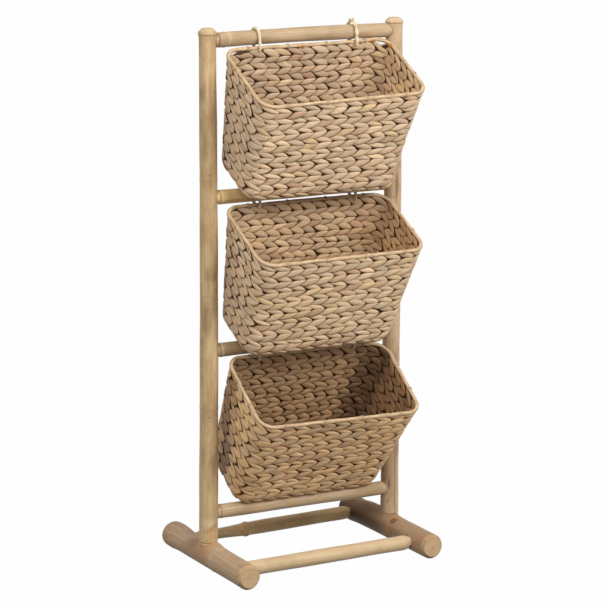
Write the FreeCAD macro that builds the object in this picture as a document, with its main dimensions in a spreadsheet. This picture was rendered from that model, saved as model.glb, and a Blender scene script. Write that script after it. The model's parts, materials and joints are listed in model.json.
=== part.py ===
import FreeCAD, Part
import os
import Sketcher

# Bamboo stand with three tilted woven baskets that hang from its rails.
# Millimetres. +X is to the right, +Y to the back, +Z up.
# The origin is on the floor, midway between the feet and midway between the foremost rim and the heels.

DRIVING_SIZES = (
    # stand
    ("post_diameter", 30.0),
    ("post_top_rise", 19.0),
    ("post_edge_chamfer", 2.5),
    ("bottom_rail_height", 93.75),
    ("top_rail_diameter", 24.0),
    ("upper_rail_diameter", 24.5),
    ("lower_rail_diameter", 23.5),
    ("bottom_rail_diameter", 23.5),
    ("foot_front_length", 145.0),
    ("foot_back_length", 141.0),
    ("foot_diameter", 45.5),
    ("foot_flat_depth", 1.5),
    ("foot_end_chamfer", 4.0),
    ("stretcher_spacing", 203.0),
    ("stretcher_rise", 2.0),
    ("front_stretcher_diameter", 25.0),
    ("rear_stretcher_diameter", 24.0),
    ("node_ring_length", 8.0),
    ("node_ring_rise", 0.5),
    # wood joints
    ("rail_tenon_diameter", 13.0),
    ("tenon_past_axis", 4.0),
    ("tenon_end_gap", 0.5),
    ("post_tenon_diameter", 18.0),
    ("post_tenon_depth", 22.0),
    ("glue_gap", 0.1),
    # fasteners
    ("nail_diameter", 2.2),
    ("nail_shank_length", 16.0),
    ("nail_point_length", 3.0),
    ("nail_head_diameter", 4.4),
    ("nail_head_height", 0.9),
    ("nail_sink", 0.6),
    ("screw_diameter", 4.0),
    ("screw_shank_length", 36.0),
    ("screw_point_length", 5.0),
    ("screw_head_diameter", 8.0),
    ("screw_head_height", 2.6),
    ("screw_sink", 1.2),
    # baskets
    ("rim_width", 303.0),
    ("rim_depth", 153.0),
    ("rim_corner_radius", 25.0),
    ("rim_cane_diameter", 6.0),
    ("basket_height", 200.0),
    ("base_width", 280.0),
    ("base_depth", 122.0),
    ("base_corner_radius", 30.0),
    ("base_edge_radius", 18.0),
    ("back_wall_lean", 38.5),
    ("weave_thickness", 8.0),
    ("seat_gap", 0.3),
    ("lashing_diameter", 1.2),
    ("lashing_drop", 1.0),
    # hanging
    ("hang_forward", 10.5),
    ("hang_drop", 16.0),
    ("hang_sideways", 3.0),
    ("basket_side_room", 6.0),
    ("loop_cord_diameter", 5.0),
    ("loop_gap", 0.4),
    ("loop_slot_gap", 2.0),
    ("top_tilt_degrees", 28.4),
    ("middle_tilt_degrees", 27.8),
    ("bottom_tilt_degrees", 38.5),
    ("bottom_swing_gap", 2.0),
)

# Where the bamboo's node rings lie, as shares of each pole's length.
POST_NODE_SHARES = (0.27, 0.46, 0.705)
POST_TOP_NODE_SHARE = 0.30
TOP_RAIL_NODE_SHARES = (0.085,)
UPPER_RAIL_NODE_SHARES = (0.55,)
LOWER_RAIL_NODE_SHARES = (0.70,)
BOTTOM_RAIL_NODE_SHARES = (0.44,)
FRONT_STRETCHER_NODE_SHARES = (0.60,)
REAR_STRETCHER_NODE_SHARES = (0.26,)
FOOT_FRONT_NODE_SHARE = 0.22

# Where the loops and lashings lie along the straight sides of a rim, as shares of its width and depth.
LOOP_SPACING_SHARE = 0.60
LONG_SIDE_LASHING_SHARES = (-0.36, -0.12, 0.12, 0.36)
SHORT_SIDE_LASHING_SHARES = (0.33, 0.67)

AXIS_X = FreeCAD.Vector(1, 0, 0)
AXIS_Y = FreeCAD.Vector(0, 1, 0)
AXIS_Z = FreeCAD.Vector(0, 0, 1)
QUARTER_TURN = 90
HALF_TURN = 180

doc = FreeCAD.newDocument("bamboo_basket_stand")
sheet = doc.addObject("Spreadsheet::Sheet", "Sizes")
for row, (alias, number) in enumerate(DRIVING_SIZES, start=1):
    sheet.set(f"A{row}", alias)
    sheet.set(f"B{row}", str(number))
    sheet.setAlias(f"B{row}", alias)
doc.recompute()

# Places worked out from the driving sizes.
places = doc.addObject("App::VarSet", "Places")


def derive(name, formula):
    """Add a worked-out length or angle that other expressions can read as Places.name."""
    places.addProperty("App::PropertyFloat", name)
    places.setExpression(name, formula)


derive("post_radius", "Sizes.post_diameter / 2")
derive("foot_radius", "Sizes.foot_diameter / 2")
derive("foot_level", "Sizes.foot_diameter / 2 - Sizes.foot_flat_depth")
derive("rim_radius", "Sizes.rim_cane_diameter / 2")
derive("half_spacing", "Sizes.rim_width / 2 + rim_radius + Sizes.basket_side_room + post_radius")
derive("post_spacing", "2 * half_spacing")
derive("half_loop_spacing", f"Sizes.rim_width * {LOOP_SPACING_SHARE} / 2")
derive("half_stretcher_spacing", "Sizes.stretcher_spacing / 2")
derive("loop_layer", "Sizes.loop_gap + Sizes.loop_cord_diameter + Sizes.seat_gap")

# The upper two baskets lean on the loops that lie on the rail below.
derive("top_rest_radius", "Sizes.upper_rail_diameter / 2 + loop_layer")
derive("middle_rest_radius", "Sizes.lower_rail_diameter / 2 + loop_layer")
for tier in ("top", "middle"):
    lean = f"Sizes.{tier}_tilt_degrees"
    reach = f"(Sizes.basket_height + {tier}_rest_radius - Sizes.hang_forward * sin({lean}))"
    derive(f"{tier}_pitch", f"{reach} / cos({lean}) + Sizes.hang_drop")

# The bottom basket hangs free, and its rounded front edge swings clear of the bottom rail.
derive("base_front", "Sizes.back_wall_lean + Sizes.base_depth")
derive("swing_radius", "Sizes.base_edge_radius"
       " + hypot(base_front - Sizes.base_edge_radius; Sizes.basket_height - Sizes.base_edge_radius)")
derive("clear_distance", "swing_radius + Sizes.bottom_swing_gap + Sizes.bottom_rail_diameter / 2")
derive("bottom_pitch", "sqrt(clear_distance ^ 2 - Sizes.hang_forward ^ 2) + Sizes.hang_drop")

derive("bottom_rail_level", "Sizes.bottom_rail_height")
derive("lower_rail_level", "bottom_rail_level + bottom_pitch")
derive("upper_rail_level", "lower_rail_level + middle_pitch")
derive("top_rail_level", "upper_rail_level + top_pitch")
derive("post_top", "top_rail_level + Sizes.post_top_rise")
derive("nail_reach", "Sizes.nail_head_height + Sizes.nail_shank_length + Sizes.nail_point_length")
derive("screw_reach", "Sizes.screw_head_height + Sizes.screw_shank_length + Sizes.screw_point_length")
derive("lashing_ring_radius", "rim_radius + Sizes.lashing_drop + Sizes.seat_gap + Sizes.lashing_diameter / 2")
derive("lashing_reach", "lashing_ring_radius + Sizes.lashing_diameter / 2")

# The middle basket leans least, so its front lashings reach furthest forward.
least_lean = "Sizes.middle_tilt_degrees"
derive("front_reach", "Sizes.hang_forward + lashing_reach"
       f" + Sizes.rim_depth * cos({least_lean}) - Sizes.lashing_drop * sin({least_lean})")
derive("stand_plane", "(front_reach - Sizes.foot_back_length) / 2")
doc.recompute()

sub_parts = []


def finish_sub_part(label, solid):
    """Name a finished sub-part and keep it for export."""
    solid.Label = label
    sub_parts.append(solid)
    return solid


def place(solid, x="0", y="0", z="0", turn=None, axis=AXIS_X):
    """Bind a sub-part's place, and its turn about an axis, to the sizes."""
    solid.Placement = FreeCAD.Placement(FreeCAD.Vector(0, 0, 0), FreeCAD.Rotation(axis, HALF_TURN / 2))
    solid.setExpression("Placement.Base.x", x)
    solid.setExpression("Placement.Base.y", y)
    solid.setExpression("Placement.Base.z", z)
    solid.setExpression("Placement.Rotation.Angle", turn or "0")


def new_body(label):
    return doc.addObject("PartDesign::Body", label)


def sketch_on(body, role, shift_y=None, shift_z=None):
    """Start a sketch on one of the body's own planes, shifted in the sketch's own directions."""
    plane = [feature for feature in body.Origin.OriginFeatures if feature.Role == role][0]
    sketch = body.newObject("Sketcher::SketchObject", "Sketch")
    sketch.AttachmentSupport = [(plane, "")]
    sketch.MapMode = "FlatFace"
    if shift_y:
        sketch.setExpression("AttachmentOffset.Base.y", shift_y)
    if shift_z:
        sketch.setExpression("AttachmentOffset.Base.z", shift_z)
    return sketch


def bind(sketch, constraint, formula):
    """Add a measured constraint and tie it to the sizes."""
    index = sketch.addConstraint(constraint)
    sketch.setExpression(f"Constraints[{index}]", formula)


def bind_point(sketch, geometry, end, x, y):
    """Fix a point by its two coordinates. A leading minus puts it on the negative side."""
    for kind, value, axis in (("DistanceX", x, -2), ("DistanceY", y, -1)):
        if value == "0":
            sketch.addConstraint(Sketcher.Constraint("PointOnObject", geometry, end, axis))
        elif value.startswith("-"):
            bind(sketch, Sketcher.Constraint(kind, geometry, end, -1, 1, 1.0), value[1:])
        else:
            bind(sketch, Sketcher.Constraint(kind, -1, 1, geometry, end, 1.0), value)


def draw_profile(sketch, points):
    """Draw a closed outline of straight lines through points given as formulas."""
    count = len(points)
    for index in range(count):
        start = FreeCAD.Vector(index, index % 2, 0)
        end = FreeCAD.Vector(index + 1, (index + 1) % 2, 0)
        sketch.addGeometry(Part.LineSegment(start, end))
    for index in range(count):
        sketch.addConstraint(Sketcher.Constraint("Coincident", index, 2, (index + 1) % count, 1))
    for index, (x, y) in enumerate(points):
        bind_point(sketch, index, 1, x, y)


def draw_circle(sketch, x, y, radius):
    circle = Part.Circle(FreeCAD.Vector(1, 1, 0), AXIS_Z, 1)
    geometry = sketch.addGeometry(circle)
    bind_point(sketch, geometry, 3, x, y)
    bind(sketch, Sketcher.Constraint("Radius", geometry, 1.0), radius)


def revolve(body, sketch, axis):
    feature = body.newObject("PartDesign::Revolution", "Turned")
    feature.Profile = sketch
    feature.ReferenceAxis = (sketch, [axis])
    feature.Angle = 2 * HALF_TURN
    return feature


def pad(body, sketch, length, both_ways=False):
    feature = body.newObject("PartDesign::Pad", "Raised")
    feature.Profile = sketch
    feature.setExpression("Length", length)
    if both_ways:
        feature.SideType = "Symmetric"
    return feature


def pocket(body, sketch, length=None, along_normal=False):
    """Cut a sketch's shape to a length, or right through both ways when no length is given."""
    doc.recompute()
    volume_before = body.Shape.Volume
    feature = body.newObject("PartDesign::Pocket", "Cut")
    feature.Profile = sketch
    if length:
        feature.setExpression("Length", length)
        feature.Reversed = along_normal
    else:
        feature.Type = "ThroughAll"
        feature.SideType = "Symmetric"
    doc.recompute()
    if body.Shape.Volume >= volume_before:
        raise RuntimeError(f"{body.Name}: a cut removed nothing")
    return feature


def pole_outline(end_points, start, length, radius, node_shares):
    """Give a pole's half outline: its two end runs with a low ring at each bamboo node between."""
    first, last = end_points
    points = list(first)
    for share in sorted(node_shares):
        middle = f"({start} + {length} * {share})"
        points.append((f"({middle} - Sizes.node_ring_length / 2)", radius))
        points.append((middle, f"({radius} + Sizes.node_ring_rise)"))
        points.append((f"({middle} + Sizes.node_ring_length / 2)", radius))
    return points + list(last)


# Feet

def make_foot(label, x, inner_side):
    """A pole lying front to back, planed flat below, bored for its post, screw, stretchers and nails."""
    body = new_body(label)
    edge = "Sizes.foot_end_chamfer"
    toe = "Sizes.foot_front_length"
    heel = "Sizes.foot_back_length"
    front_node = f"{toe} * {FOOT_FRONT_NODE_SHARE}"
    half_ring = "Sizes.node_ring_length / 2"
    ring_top = "Places.foot_radius + Sizes.node_ring_rise"
    barrel = sketch_on(body, "YZ_Plane")
    draw_profile(barrel, [
        (f"-{toe}", "0"),
        (f"-{toe}", f"Places.foot_radius - {edge}"),
        (f"-({toe} - {edge})", "Places.foot_radius"),
        (f"-({front_node} + {half_ring})", "Places.foot_radius"),
        (f"-({front_node})", ring_top),
        (f"-({front_node} - {half_ring})", "Places.foot_radius"),
        (f"{heel} - {edge}", "Places.foot_radius"),
        (heel, f"Places.foot_radius - {edge}"),
        (heel, "0"),
    ])
    revolve(body, barrel, "H_Axis")

    flat = sketch_on(body, "XZ_Plane")
    wide = "Sizes.foot_diameter"
    draw_profile(flat, [
        (f"-{wide}", "-Places.foot_level"),
        (wide, "-Places.foot_level"),
        (wide, f"-{wide}"),
        (f"-{wide}", f"-{wide}"),
    ])
    pocket(body, flat)

    mortise = sketch_on(body, "XY_Plane", shift_z="Places.foot_radius - Sizes.post_tenon_depth")
    draw_circle(mortise, "0", "0", "Sizes.post_tenon_diameter / 2 + Sizes.glue_gap")
    pocket(body, mortise, "Sizes.foot_diameter", along_normal=True)

    for radius, depth in (
        ("Sizes.screw_diameter / 2", "Places.foot_radius"),
        ("Sizes.screw_head_diameter / 2", "Sizes.screw_sink + Sizes.screw_head_height"),
    ):
        bore = sketch_on(body, "XY_Plane", shift_z="-Places.foot_level")
        draw_circle(bore, "0", "0", f"{radius} + Sizes.glue_gap")
        pocket(body, bore, depth, along_normal=True)

    sockets = sketch_on(body, "YZ_Plane", shift_z=f"{-inner_side} * Sizes.tenon_past_axis")
    for y in ("-Places.half_stretcher_spacing", "Places.half_stretcher_spacing"):
        draw_circle(sockets, y, "Sizes.stretcher_rise", "Sizes.rail_tenon_diameter / 2 + Sizes.glue_gap")
    pocket(body, sockets, "Sizes.foot_diameter", along_normal=inner_side > 0)

    for radius, depth in (
        ("Sizes.nail_diameter / 2", "Sizes.nail_sink + Places.nail_reach + Sizes.glue_gap"),
        ("Sizes.nail_head_diameter / 2", "Sizes.nail_sink + Sizes.nail_head_height"),
    ):
        bore = sketch_on(body, "XY_Plane", shift_z="-Places.foot_level")
        for y in ("-Places.half_stretcher_spacing", "Places.half_stretcher_spacing"):
            draw_circle(bore, "0", y, f"{radius} + Sizes.glue_gap")
        pocket(body, bore, depth, along_normal=True)
    place(body, x=x, y="Places.stand_plane", z="Places.foot_level")
    finish_sub_part(label, body)


make_foot("left_foot", "-Places.half_spacing", 1)
make_foot("right_foot", "Places.half_spacing", -1)


# Posts

RAIL_LEVELS = ("top_rail_level", "upper_rail_level", "lower_rail_level", "bottom_rail_level")


def make_post(label, x, inner_side):
    """An upright pole, coped over its foot, with a tenon below, four rail sockets and their nail holes."""
    body = new_body(label)
    barrel = sketch_on(body, "XZ_Plane")
    radius = "Places.post_radius"
    top_node = f"(Places.post_top - Sizes.post_top_rise * {POST_TOP_NODE_SHARE})"
    half_ring = "Sizes.node_ring_length / 2"
    points = pole_outline(
        (
            [("Places.foot_level", "0"), ("Places.foot_level", radius)],
            [
                (f"{top_node} - {half_ring}", radius),
                (top_node, f"{radius} + Sizes.node_ring_rise"),
                ("Places.post_top - Sizes.post_edge_chamfer", radius),
                ("Places.post_top", f"{radius} - Sizes.post_edge_chamfer"),
                ("Places.post_top", "0"),
            ],
        ),
        "Places.foot_level", "(Places.post_top - Places.foot_level)", radius, POST_NODE_SHARES,
    )
    draw_profile(barrel, [(out, along) for along, out in points])
    revolve(body, barrel, "V_Axis")

    saddle = sketch_on(body, "XZ_Plane")
    draw_circle(saddle, "0", "Places.foot_level", "Places.foot_radius")
    pocket(body, saddle)

    foot_top = "Places.foot_level + Places.foot_radius"
    tenon_end = f"{foot_top} - Sizes.post_tenon_depth + Sizes.tenon_end_gap"
    tenon = sketch_on(body, "XY_Plane", shift_z=tenon_end)
    draw_circle(tenon, "0", "0", "Sizes.post_tenon_diameter / 2")
    pad(body, tenon, "Sizes.post_tenon_depth + Sizes.post_tenon_diameter")

    screw_tip = "Sizes.screw_sink + Places.screw_reach + Sizes.glue_gap"
    pilot = sketch_on(body, "XY_Plane", shift_z=tenon_end)
    draw_circle(pilot, "0", "0", "Sizes.screw_diameter / 2 + Sizes.glue_gap")
    pocket(body, pilot, f"{screw_tip} - ({tenon_end})", along_normal=True)

    sockets = sketch_on(body, "YZ_Plane", shift_z=f"{-inner_side} * Sizes.tenon_past_axis")
    for level in RAIL_LEVELS:
        draw_circle(sockets, "0", f"Places.{level}", "Sizes.rail_tenon_diameter / 2 + Sizes.glue_gap")
    pocket(body, sockets, "Sizes.post_diameter", along_normal=inner_side > 0)

    for radius, depth in (
        ("Sizes.nail_diameter / 2", "Sizes.nail_sink + Places.nail_reach + Sizes.glue_gap"),
        ("Sizes.nail_head_diameter / 2", "Sizes.nail_sink + Sizes.nail_head_height"),
    ):
        bores = sketch_on(body, "XZ_Plane", shift_z="-Places.post_radius")
        for level in RAIL_LEVELS:
            draw_circle(bores, "0", f"Places.{level}", f"{radius} + Sizes.glue_gap")
        pocket(body, bores, depth, along_normal=True)
    place(body, x=x, y="Places.stand_plane")
    finish_sub_part(label, body)


make_post("left_post", "-Places.half_spacing", 1)
make_post("right_post", "Places.half_spacing", -1)


# Rails and stretchers

def make_crosspiece(label, diameter, node_shares, cope_plane, cope_level, cope_radius, nail_plane, y, z):
    """A pole coped to two round members, with a tenon at each end and a nail hole through each tenon."""
    body = new_body(label)
    radius = f"{diameter} / 2"
    barrel = sketch_on(body, "XZ_Plane")
    draw_profile(barrel, pole_outline(
        ([("0", "0"), ("0", radius)], [("Places.post_spacing", radius), ("Places.post_spacing", "0")]),
        "0", "Places.post_spacing", radius, node_shares,
    ))
    revolve(body, barrel, "H_Axis")

    cope = sketch_on(body, cope_plane)
    for x in ("0", "Places.post_spacing"):
        draw_circle(cope, x, cope_level, cope_radius)
    pocket(body, cope)

    tenon_past = "(Sizes.tenon_past_axis - Sizes.tenon_end_gap)"
    tenon = sketch_on(body, "YZ_Plane", shift_z=f"-{tenon_past}")
    draw_circle(tenon, "0", "0", "Sizes.rail_tenon_diameter / 2")
    pad(body, tenon, f"Places.post_spacing + 2 * {tenon_past}")

    nail_holes = sketch_on(body, nail_plane)
    for x in ("0", "Places.post_spacing"):
        draw_circle(nail_holes, x, "0", "Sizes.nail_diameter / 2 + Sizes.glue_gap")
    pocket(body, nail_holes)
    place(body, x="-Places.half_spacing", y=y, z=z)
    finish_sub_part(label, body)


for label, node_shares in (
    ("top_rail", TOP_RAIL_NODE_SHARES),
    ("upper_rail", UPPER_RAIL_NODE_SHARES),
    ("lower_rail", LOWER_RAIL_NODE_SHARES),
    ("bottom_rail", BOTTOM_RAIL_NODE_SHARES),
):
    make_crosspiece(label, f"Sizes.{label}_diameter", node_shares, "XY_Plane", "0", "Places.post_radius",
                    "XZ_Plane", "Places.stand_plane", f"Places.{label}_level")

for label, node_shares, side in (
    ("front_stretcher", FRONT_STRETCHER_NODE_SHARES, "-"),
    ("rear_stretcher", REAR_STRETCHER_NODE_SHARES, "+"),
):
    make_crosspiece(label, f"Sizes.{label}_diameter", node_shares, "XZ_Plane", "-Sizes.stretcher_rise",
                    "Places.foot_radius", "XY_Plane",
                    f"Places.stand_plane {side} Places.half_stretcher_spacing",
                    "Places.foot_level + Sizes.stretcher_rise")


# Fasteners

def make_fastener(kind, x, y, z, turn):
    """A head, a shank and a point in line. The head's outer face is at the given place."""
    head = doc.addObject("Part::Cylinder", "Head")
    head.setExpression("Radius", f"Sizes.{kind}_head_diameter / 2")
    head.setExpression("Height", f"Sizes.{kind}_head_height")
    place(head, z=f"-Sizes.{kind}_head_height")
    shank = doc.addObject("Part::Cylinder", "Shank")
    shank.setExpression("Radius", f"Sizes.{kind}_diameter / 2")
    shank.setExpression("Height", f"Sizes.{kind}_shank_length + Sizes.{kind}_head_height")
    place(shank, z=f"-Sizes.{kind}_shank_length - Sizes.{kind}_head_height")
    point = doc.addObject("Part::Cone", "Point")
    point.Radius1 = 0
    point.setExpression("Radius2", f"Sizes.{kind}_diameter / 2")
    point.setExpression("Height", f"Sizes.{kind}_point_length")
    place(point, z=f"-Places.{kind}_reach")
    whole = doc.addObject("Part::MultiFuse", kind)
    whole.Shapes = [head, shank, point]
    place(whole, x=x, y=y, z=z, turn=str(turn))
    return whole


def make_group(label, pieces):
    group = doc.addObject("Part::Compound", label)
    group.Links = pieces
    return finish_sub_part(label, group)


SIDES = ("-Places.half_spacing", "Places.half_spacing")
make_group("rail_nails", [
    make_fastener("nail", x, "Places.stand_plane + Places.post_radius - Sizes.nail_sink",
                  f"Places.{level}", -QUARTER_TURN)
    for x in SIDES
    for level in RAIL_LEVELS
])
make_group("stretcher_nails", [
    make_fastener("nail", x, f"Places.stand_plane {side} Places.half_stretcher_spacing",
                  "Sizes.nail_sink", HALF_TURN)
    for x in SIDES
    for side in ("-", "+")
])
make_group("foot_screws", [
    make_fastener("screw", x, "Places.stand_plane", "Sizes.screw_sink", HALF_TURN)
    for x in SIDES
])


# Baskets. Each is drawn about the middle of its rim's back strand, mouth up, with its front at -Y.

# First guesses of a rounded outline's corner centres and radius. Bound constraints replace them.
GUESS_REACH = 8.0
GUESS_BEND = 2.0


def draw_rounded_outline(sketch, width, depth, radius):
    """Draw a rectangle with round corners. Its back side lies on the X axis and starts at the origin."""
    corners = (
        (-GUESS_REACH, -GUESS_BEND, 1),
        (-GUESS_REACH, -GUESS_REACH, 2),
        (GUESS_REACH, -GUESS_REACH, 3),
        (GUESS_REACH, -GUESS_BEND, 4),
    )
    bend_circles = [Part.Circle(FreeCAD.Vector(x, y, 0), AXIS_Z, GUESS_BEND) for x, y, _ in corners]
    quarter = Part.Circle().length() / 4
    arcs = [
        Part.ArcOfCircle(circle, quarter * turn, quarter * (turn + 1))
        for circle, (_, _, turn) in zip(bend_circles, corners)
    ]
    origin = FreeCAD.Vector(0, 0, 0)
    starts = [origin] + [arc.EndPoint for arc in arcs]
    ends = [arc.StartPoint for arc in arcs] + [origin]
    order = []
    for index, (start, end) in enumerate(zip(starts, ends)):
        order.append(sketch.addGeometry(Part.LineSegment(start, end)))
        if index < len(arcs):
            order.append(sketch.addGeometry(arcs[index]))
    for before, after in zip(order, order[1:]):
        sketch.addConstraint(Sketcher.Constraint("Tangent", before, 2, after, 1))
    back_left, left, front, right, back_right = order[0::2]
    sketch.addConstraint(Sketcher.Constraint("Coincident", back_left, 1, -1, 1))
    sketch.addConstraint(Sketcher.Constraint("Coincident", back_right, 2, -1, 1))
    for line in (back_left, front, back_right):
        sketch.addConstraint(Sketcher.Constraint("Horizontal", line))
    for line in (left, right):
        sketch.addConstraint(Sketcher.Constraint("Vertical", line))
    first_bend = order[1]
    for bend in order[3::2]:
        sketch.addConstraint(Sketcher.Constraint("Equal", first_bend, bend))
    bind(sketch, Sketcher.Constraint("Radius", first_bend, GUESS_BEND), radius)
    bind(sketch, Sketcher.Constraint("DistanceX", left, 1, -1, 1, GUESS_REACH), f"({width}) / 2")
    bind(sketch, Sketcher.Constraint("DistanceX", -1, 1, right, 1, GUESS_REACH), f"({width}) / 2")
    bind(sketch, Sketcher.Constraint("DistanceY", front, 1, -1, 1, GUESS_REACH), depth)


def loft_walls(body, kind, inset, top_level, base_level):
    """Join the mouth's outline to the base's outline, both drawn in from the outer wall by an inset."""
    mouth = sketch_on(body, "XY_Plane", shift_y=f"Places.rim_radius - {inset}", shift_z=top_level)
    draw_rounded_outline(
        mouth,
        f"Sizes.rim_width + Sizes.rim_cane_diameter - 2 * {inset}",
        f"Sizes.rim_depth + Sizes.rim_cane_diameter - 2 * {inset}",
        f"Sizes.rim_corner_radius + Places.rim_radius - {inset}",
    )
    base = sketch_on(body, "XY_Plane", shift_y=f"-Sizes.back_wall_lean - {inset}", shift_z=base_level)
    draw_rounded_outline(
        base,
        f"Sizes.base_width - 2 * {inset}",
        f"Sizes.base_depth - 2 * {inset}",
        f"Sizes.base_corner_radius - {inset}",
    )
    loft = body.newObject(kind, "Walls")
    loft.Profile = mouth
    loft.Sections = [base]
    loft.Ruled = True
    doc.recompute()
    return loft


def round_base_edge(body, walls, radius, level):
    """Round the edge where the walls turn into the base, found by its level."""
    names = []
    for index, edge in enumerate(walls.Shape.Edges, start=1):
        box = edge.BoundBox
        if abs(box.ZMin - level) < box.DiagonalLength * 1e-6 and box.ZLength < box.DiagonalLength * 1e-6:
            names.append(f"Edge{index}")
    fillet = body.newObject("PartDesign::Fillet", "BaseEdge")
    fillet.Base = (walls, names)
    fillet.setExpression("Radius", radius)
    doc.recompute()


def make_weave_blank():
    """The woven wall and base as one closed shell with an open mouth."""
    body = new_body("Blank")
    top = "-Places.rim_radius - Sizes.seat_gap"
    outer = loft_walls(body, "PartDesign::AdditiveLoft", "0", top, "-Sizes.basket_height")
    round_base_edge(body, outer, "Sizes.base_edge_radius", -sheet.basket_height)
    floor = "Sizes.weave_thickness - Sizes.basket_height"
    inner = loft_walls(body, "PartDesign::SubtractiveLoft", "Sizes.weave_thickness", top, floor)
    round_base_edge(body, inner, "Sizes.base_edge_radius - Sizes.weave_thickness",
                    sheet.weave_thickness - sheet.basket_height)
    return body


def lashing_places():
    """Give each lashing's place on the rim and the axis that its ring turns about."""
    spots = []
    for share in LONG_SIDE_LASHING_SHARES:
        for y in ("0", "-Sizes.rim_depth"):
            spots.append((f"Sizes.rim_width * {share}", y, AXIS_Y))
    for share in SHORT_SIDE_LASHING_SHARES:
        for side in ("-", ""):
            spots.append((f"{side}Sizes.rim_width / 2", f"-Sizes.rim_depth * {share}", AXIS_X))
    return spots


def make_slot(x, y, z, radius, width, axis):
    """A round slot across the top of the wall, centred on a stretch of the rim."""
    turn = QUARTER_TURN if axis == AXIS_Y else -QUARTER_TURN
    slot = doc.addObject("Part::Cylinder", "Slot")
    slot.setExpression("Radius", radius)
    slot.setExpression("Height", width)
    half = f"({width}) / 2"
    if axis == AXIS_Y:
        place(slot, x=f"{x} - {half}", y=y, z=z, turn=str(turn), axis=axis)
    else:
        place(slot, x=x, y=f"{y} - {half}", z=z, turn=str(turn), axis=axis)
    return slot


def make_weave(label, pivot):
    """The basket's weave, with a slot for each loop and each lashing under the rim."""
    loop_slot = "Places.rim_radius + Sizes.loop_gap + Sizes.loop_cord_diameter + Sizes.loop_slot_gap"
    slots = [
        make_slot(f"{sign}Places.half_loop_spacing", "0", "0", loop_slot,
                  "Sizes.loop_cord_diameter + 2 * Sizes.loop_gap", AXIS_Y)
        for sign in ("-", "")
    ]
    for x, y, axis in lashing_places():
        slots.append(make_slot(
            x, y, "-Sizes.lashing_drop",
            "Places.lashing_ring_radius + Sizes.lashing_diameter / 2 + Sizes.seat_gap",
            "Sizes.lashing_diameter + 2 * Sizes.seat_gap", axis))
    tool = doc.addObject("Part::Compound", "Slots")
    tool.Links = slots
    weave = doc.addObject("Part::Cut", label)
    weave.Base = make_weave_blank()
    weave.Tool = tool
    place(weave, **pivot)
    finish_sub_part(label, weave)


def sweep(body, path, profile):
    feature = body.newObject("PartDesign::AdditivePipe", "Swept")
    feature.Profile = profile
    feature.Spine = path
    return feature


def make_rim(label, pivot):
    """A round cane bent into a closed hoop on top of the wall."""
    body = new_body(label)
    path = sketch_on(body, "XY_Plane")
    draw_rounded_outline(path, "Sizes.rim_width", "Sizes.rim_depth", "Sizes.rim_corner_radius")
    section = sketch_on(body, "YZ_Plane")
    draw_circle(section, "0", "0", "Places.rim_radius")
    sweep(body, path, section)
    place(body, **pivot)
    finish_sub_part(label, body)


def make_lashings(label, pivot):
    """Thin rings that sew the rim to the top of the wall."""
    rings = []
    for x, y, axis in lashing_places():
        ring = doc.addObject("Part::Torus", "Ring")
        ring.setExpression("Radius1", "Places.lashing_ring_radius")
        ring.setExpression("Radius2", "Sizes.lashing_diameter / 2")
        place(ring, x=x, y=y, z="-Sizes.lashing_drop", turn=str(QUARTER_TURN), axis=axis)
        rings.append(ring)
    group = make_group(label, rings)
    place(group, **pivot)


def draw_belt(sketch, rail_reach, rim_reach):
    """Draw a closed belt round two circles: the rim's at the origin and the rail's behind and above it."""
    rail_centre = FreeCAD.Vector(sheet.hang_forward, sheet.hang_drop, 0)
    quarter = Part.Circle().length() / 4
    front_turn, back_turn = 2 * quarter, 2 * quarter + quarter * 4 / 3
    rail_circle = Part.Circle(rail_centre, AXIS_Z, sheet.hang_drop)
    rim_circle = Part.Circle(FreeCAD.Vector(0, 0, 0), AXIS_Z, sheet.rim_cane_diameter)
    over_front = Part.ArcOfCircle(rail_circle, quarter, front_turn)
    under_rim = Part.ArcOfCircle(rim_circle, front_turn, back_turn)
    over_back = Part.ArcOfCircle(rail_circle, back_turn, 5 * quarter)
    front_leg = Part.LineSegment(over_front.EndPoint, under_rim.StartPoint)
    back_leg = Part.LineSegment(under_rim.EndPoint, over_back.StartPoint)
    order = [sketch.addGeometry(edge) for edge in (over_front, front_leg, under_rim, back_leg, over_back)]
    for before, after in zip(order, order[1:]):
        sketch.addConstraint(Sketcher.Constraint("Tangent", before, 2, after, 1))
    first, _, rim, _, last = order
    sketch.addConstraint(Sketcher.Constraint("Coincident", last, 2, first, 1))
    sketch.addConstraint(Sketcher.Constraint("Coincident", last, 3, first, 3))
    sketch.addConstraint(Sketcher.Constraint("Vertical", first, 3, first, 1))
    bind_point(sketch, first, 3, "Sizes.hang_forward", "Sizes.hang_drop")
    bind_point(sketch, rim, 3, "0", "0")
    bind(sketch, Sketcher.Constraint("Radius", first, 1.0), rail_reach)
    bind(sketch, Sketcher.Constraint("Radius", rim, 1.0), rim_reach)


def make_loop(label, rail, x, pivot_y, pivot_z):
    """A closed cord round the rail and the back strand of the rim."""
    body = new_body(label)
    cord_radius = "Sizes.loop_cord_diameter / 2"
    rail_reach = f"Sizes.{rail}_diameter / 2 + Sizes.loop_gap + {cord_radius}"
    rim_reach = f"Places.rim_radius + Sizes.loop_gap + {cord_radius}"
    path = sketch_on(body, "YZ_Plane")
    draw_belt(path, rail_reach, rim_reach)
    section = sketch_on(body, "XZ_Plane", shift_z="-Sizes.hang_forward")
    draw_circle(section, "0", f"Sizes.hang_drop + {rail_reach}", cord_radius)
    sweep(body, path, section)
    place(body, x=x, y=pivot_y, z=pivot_z)
    finish_sub_part(label, body)


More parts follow.
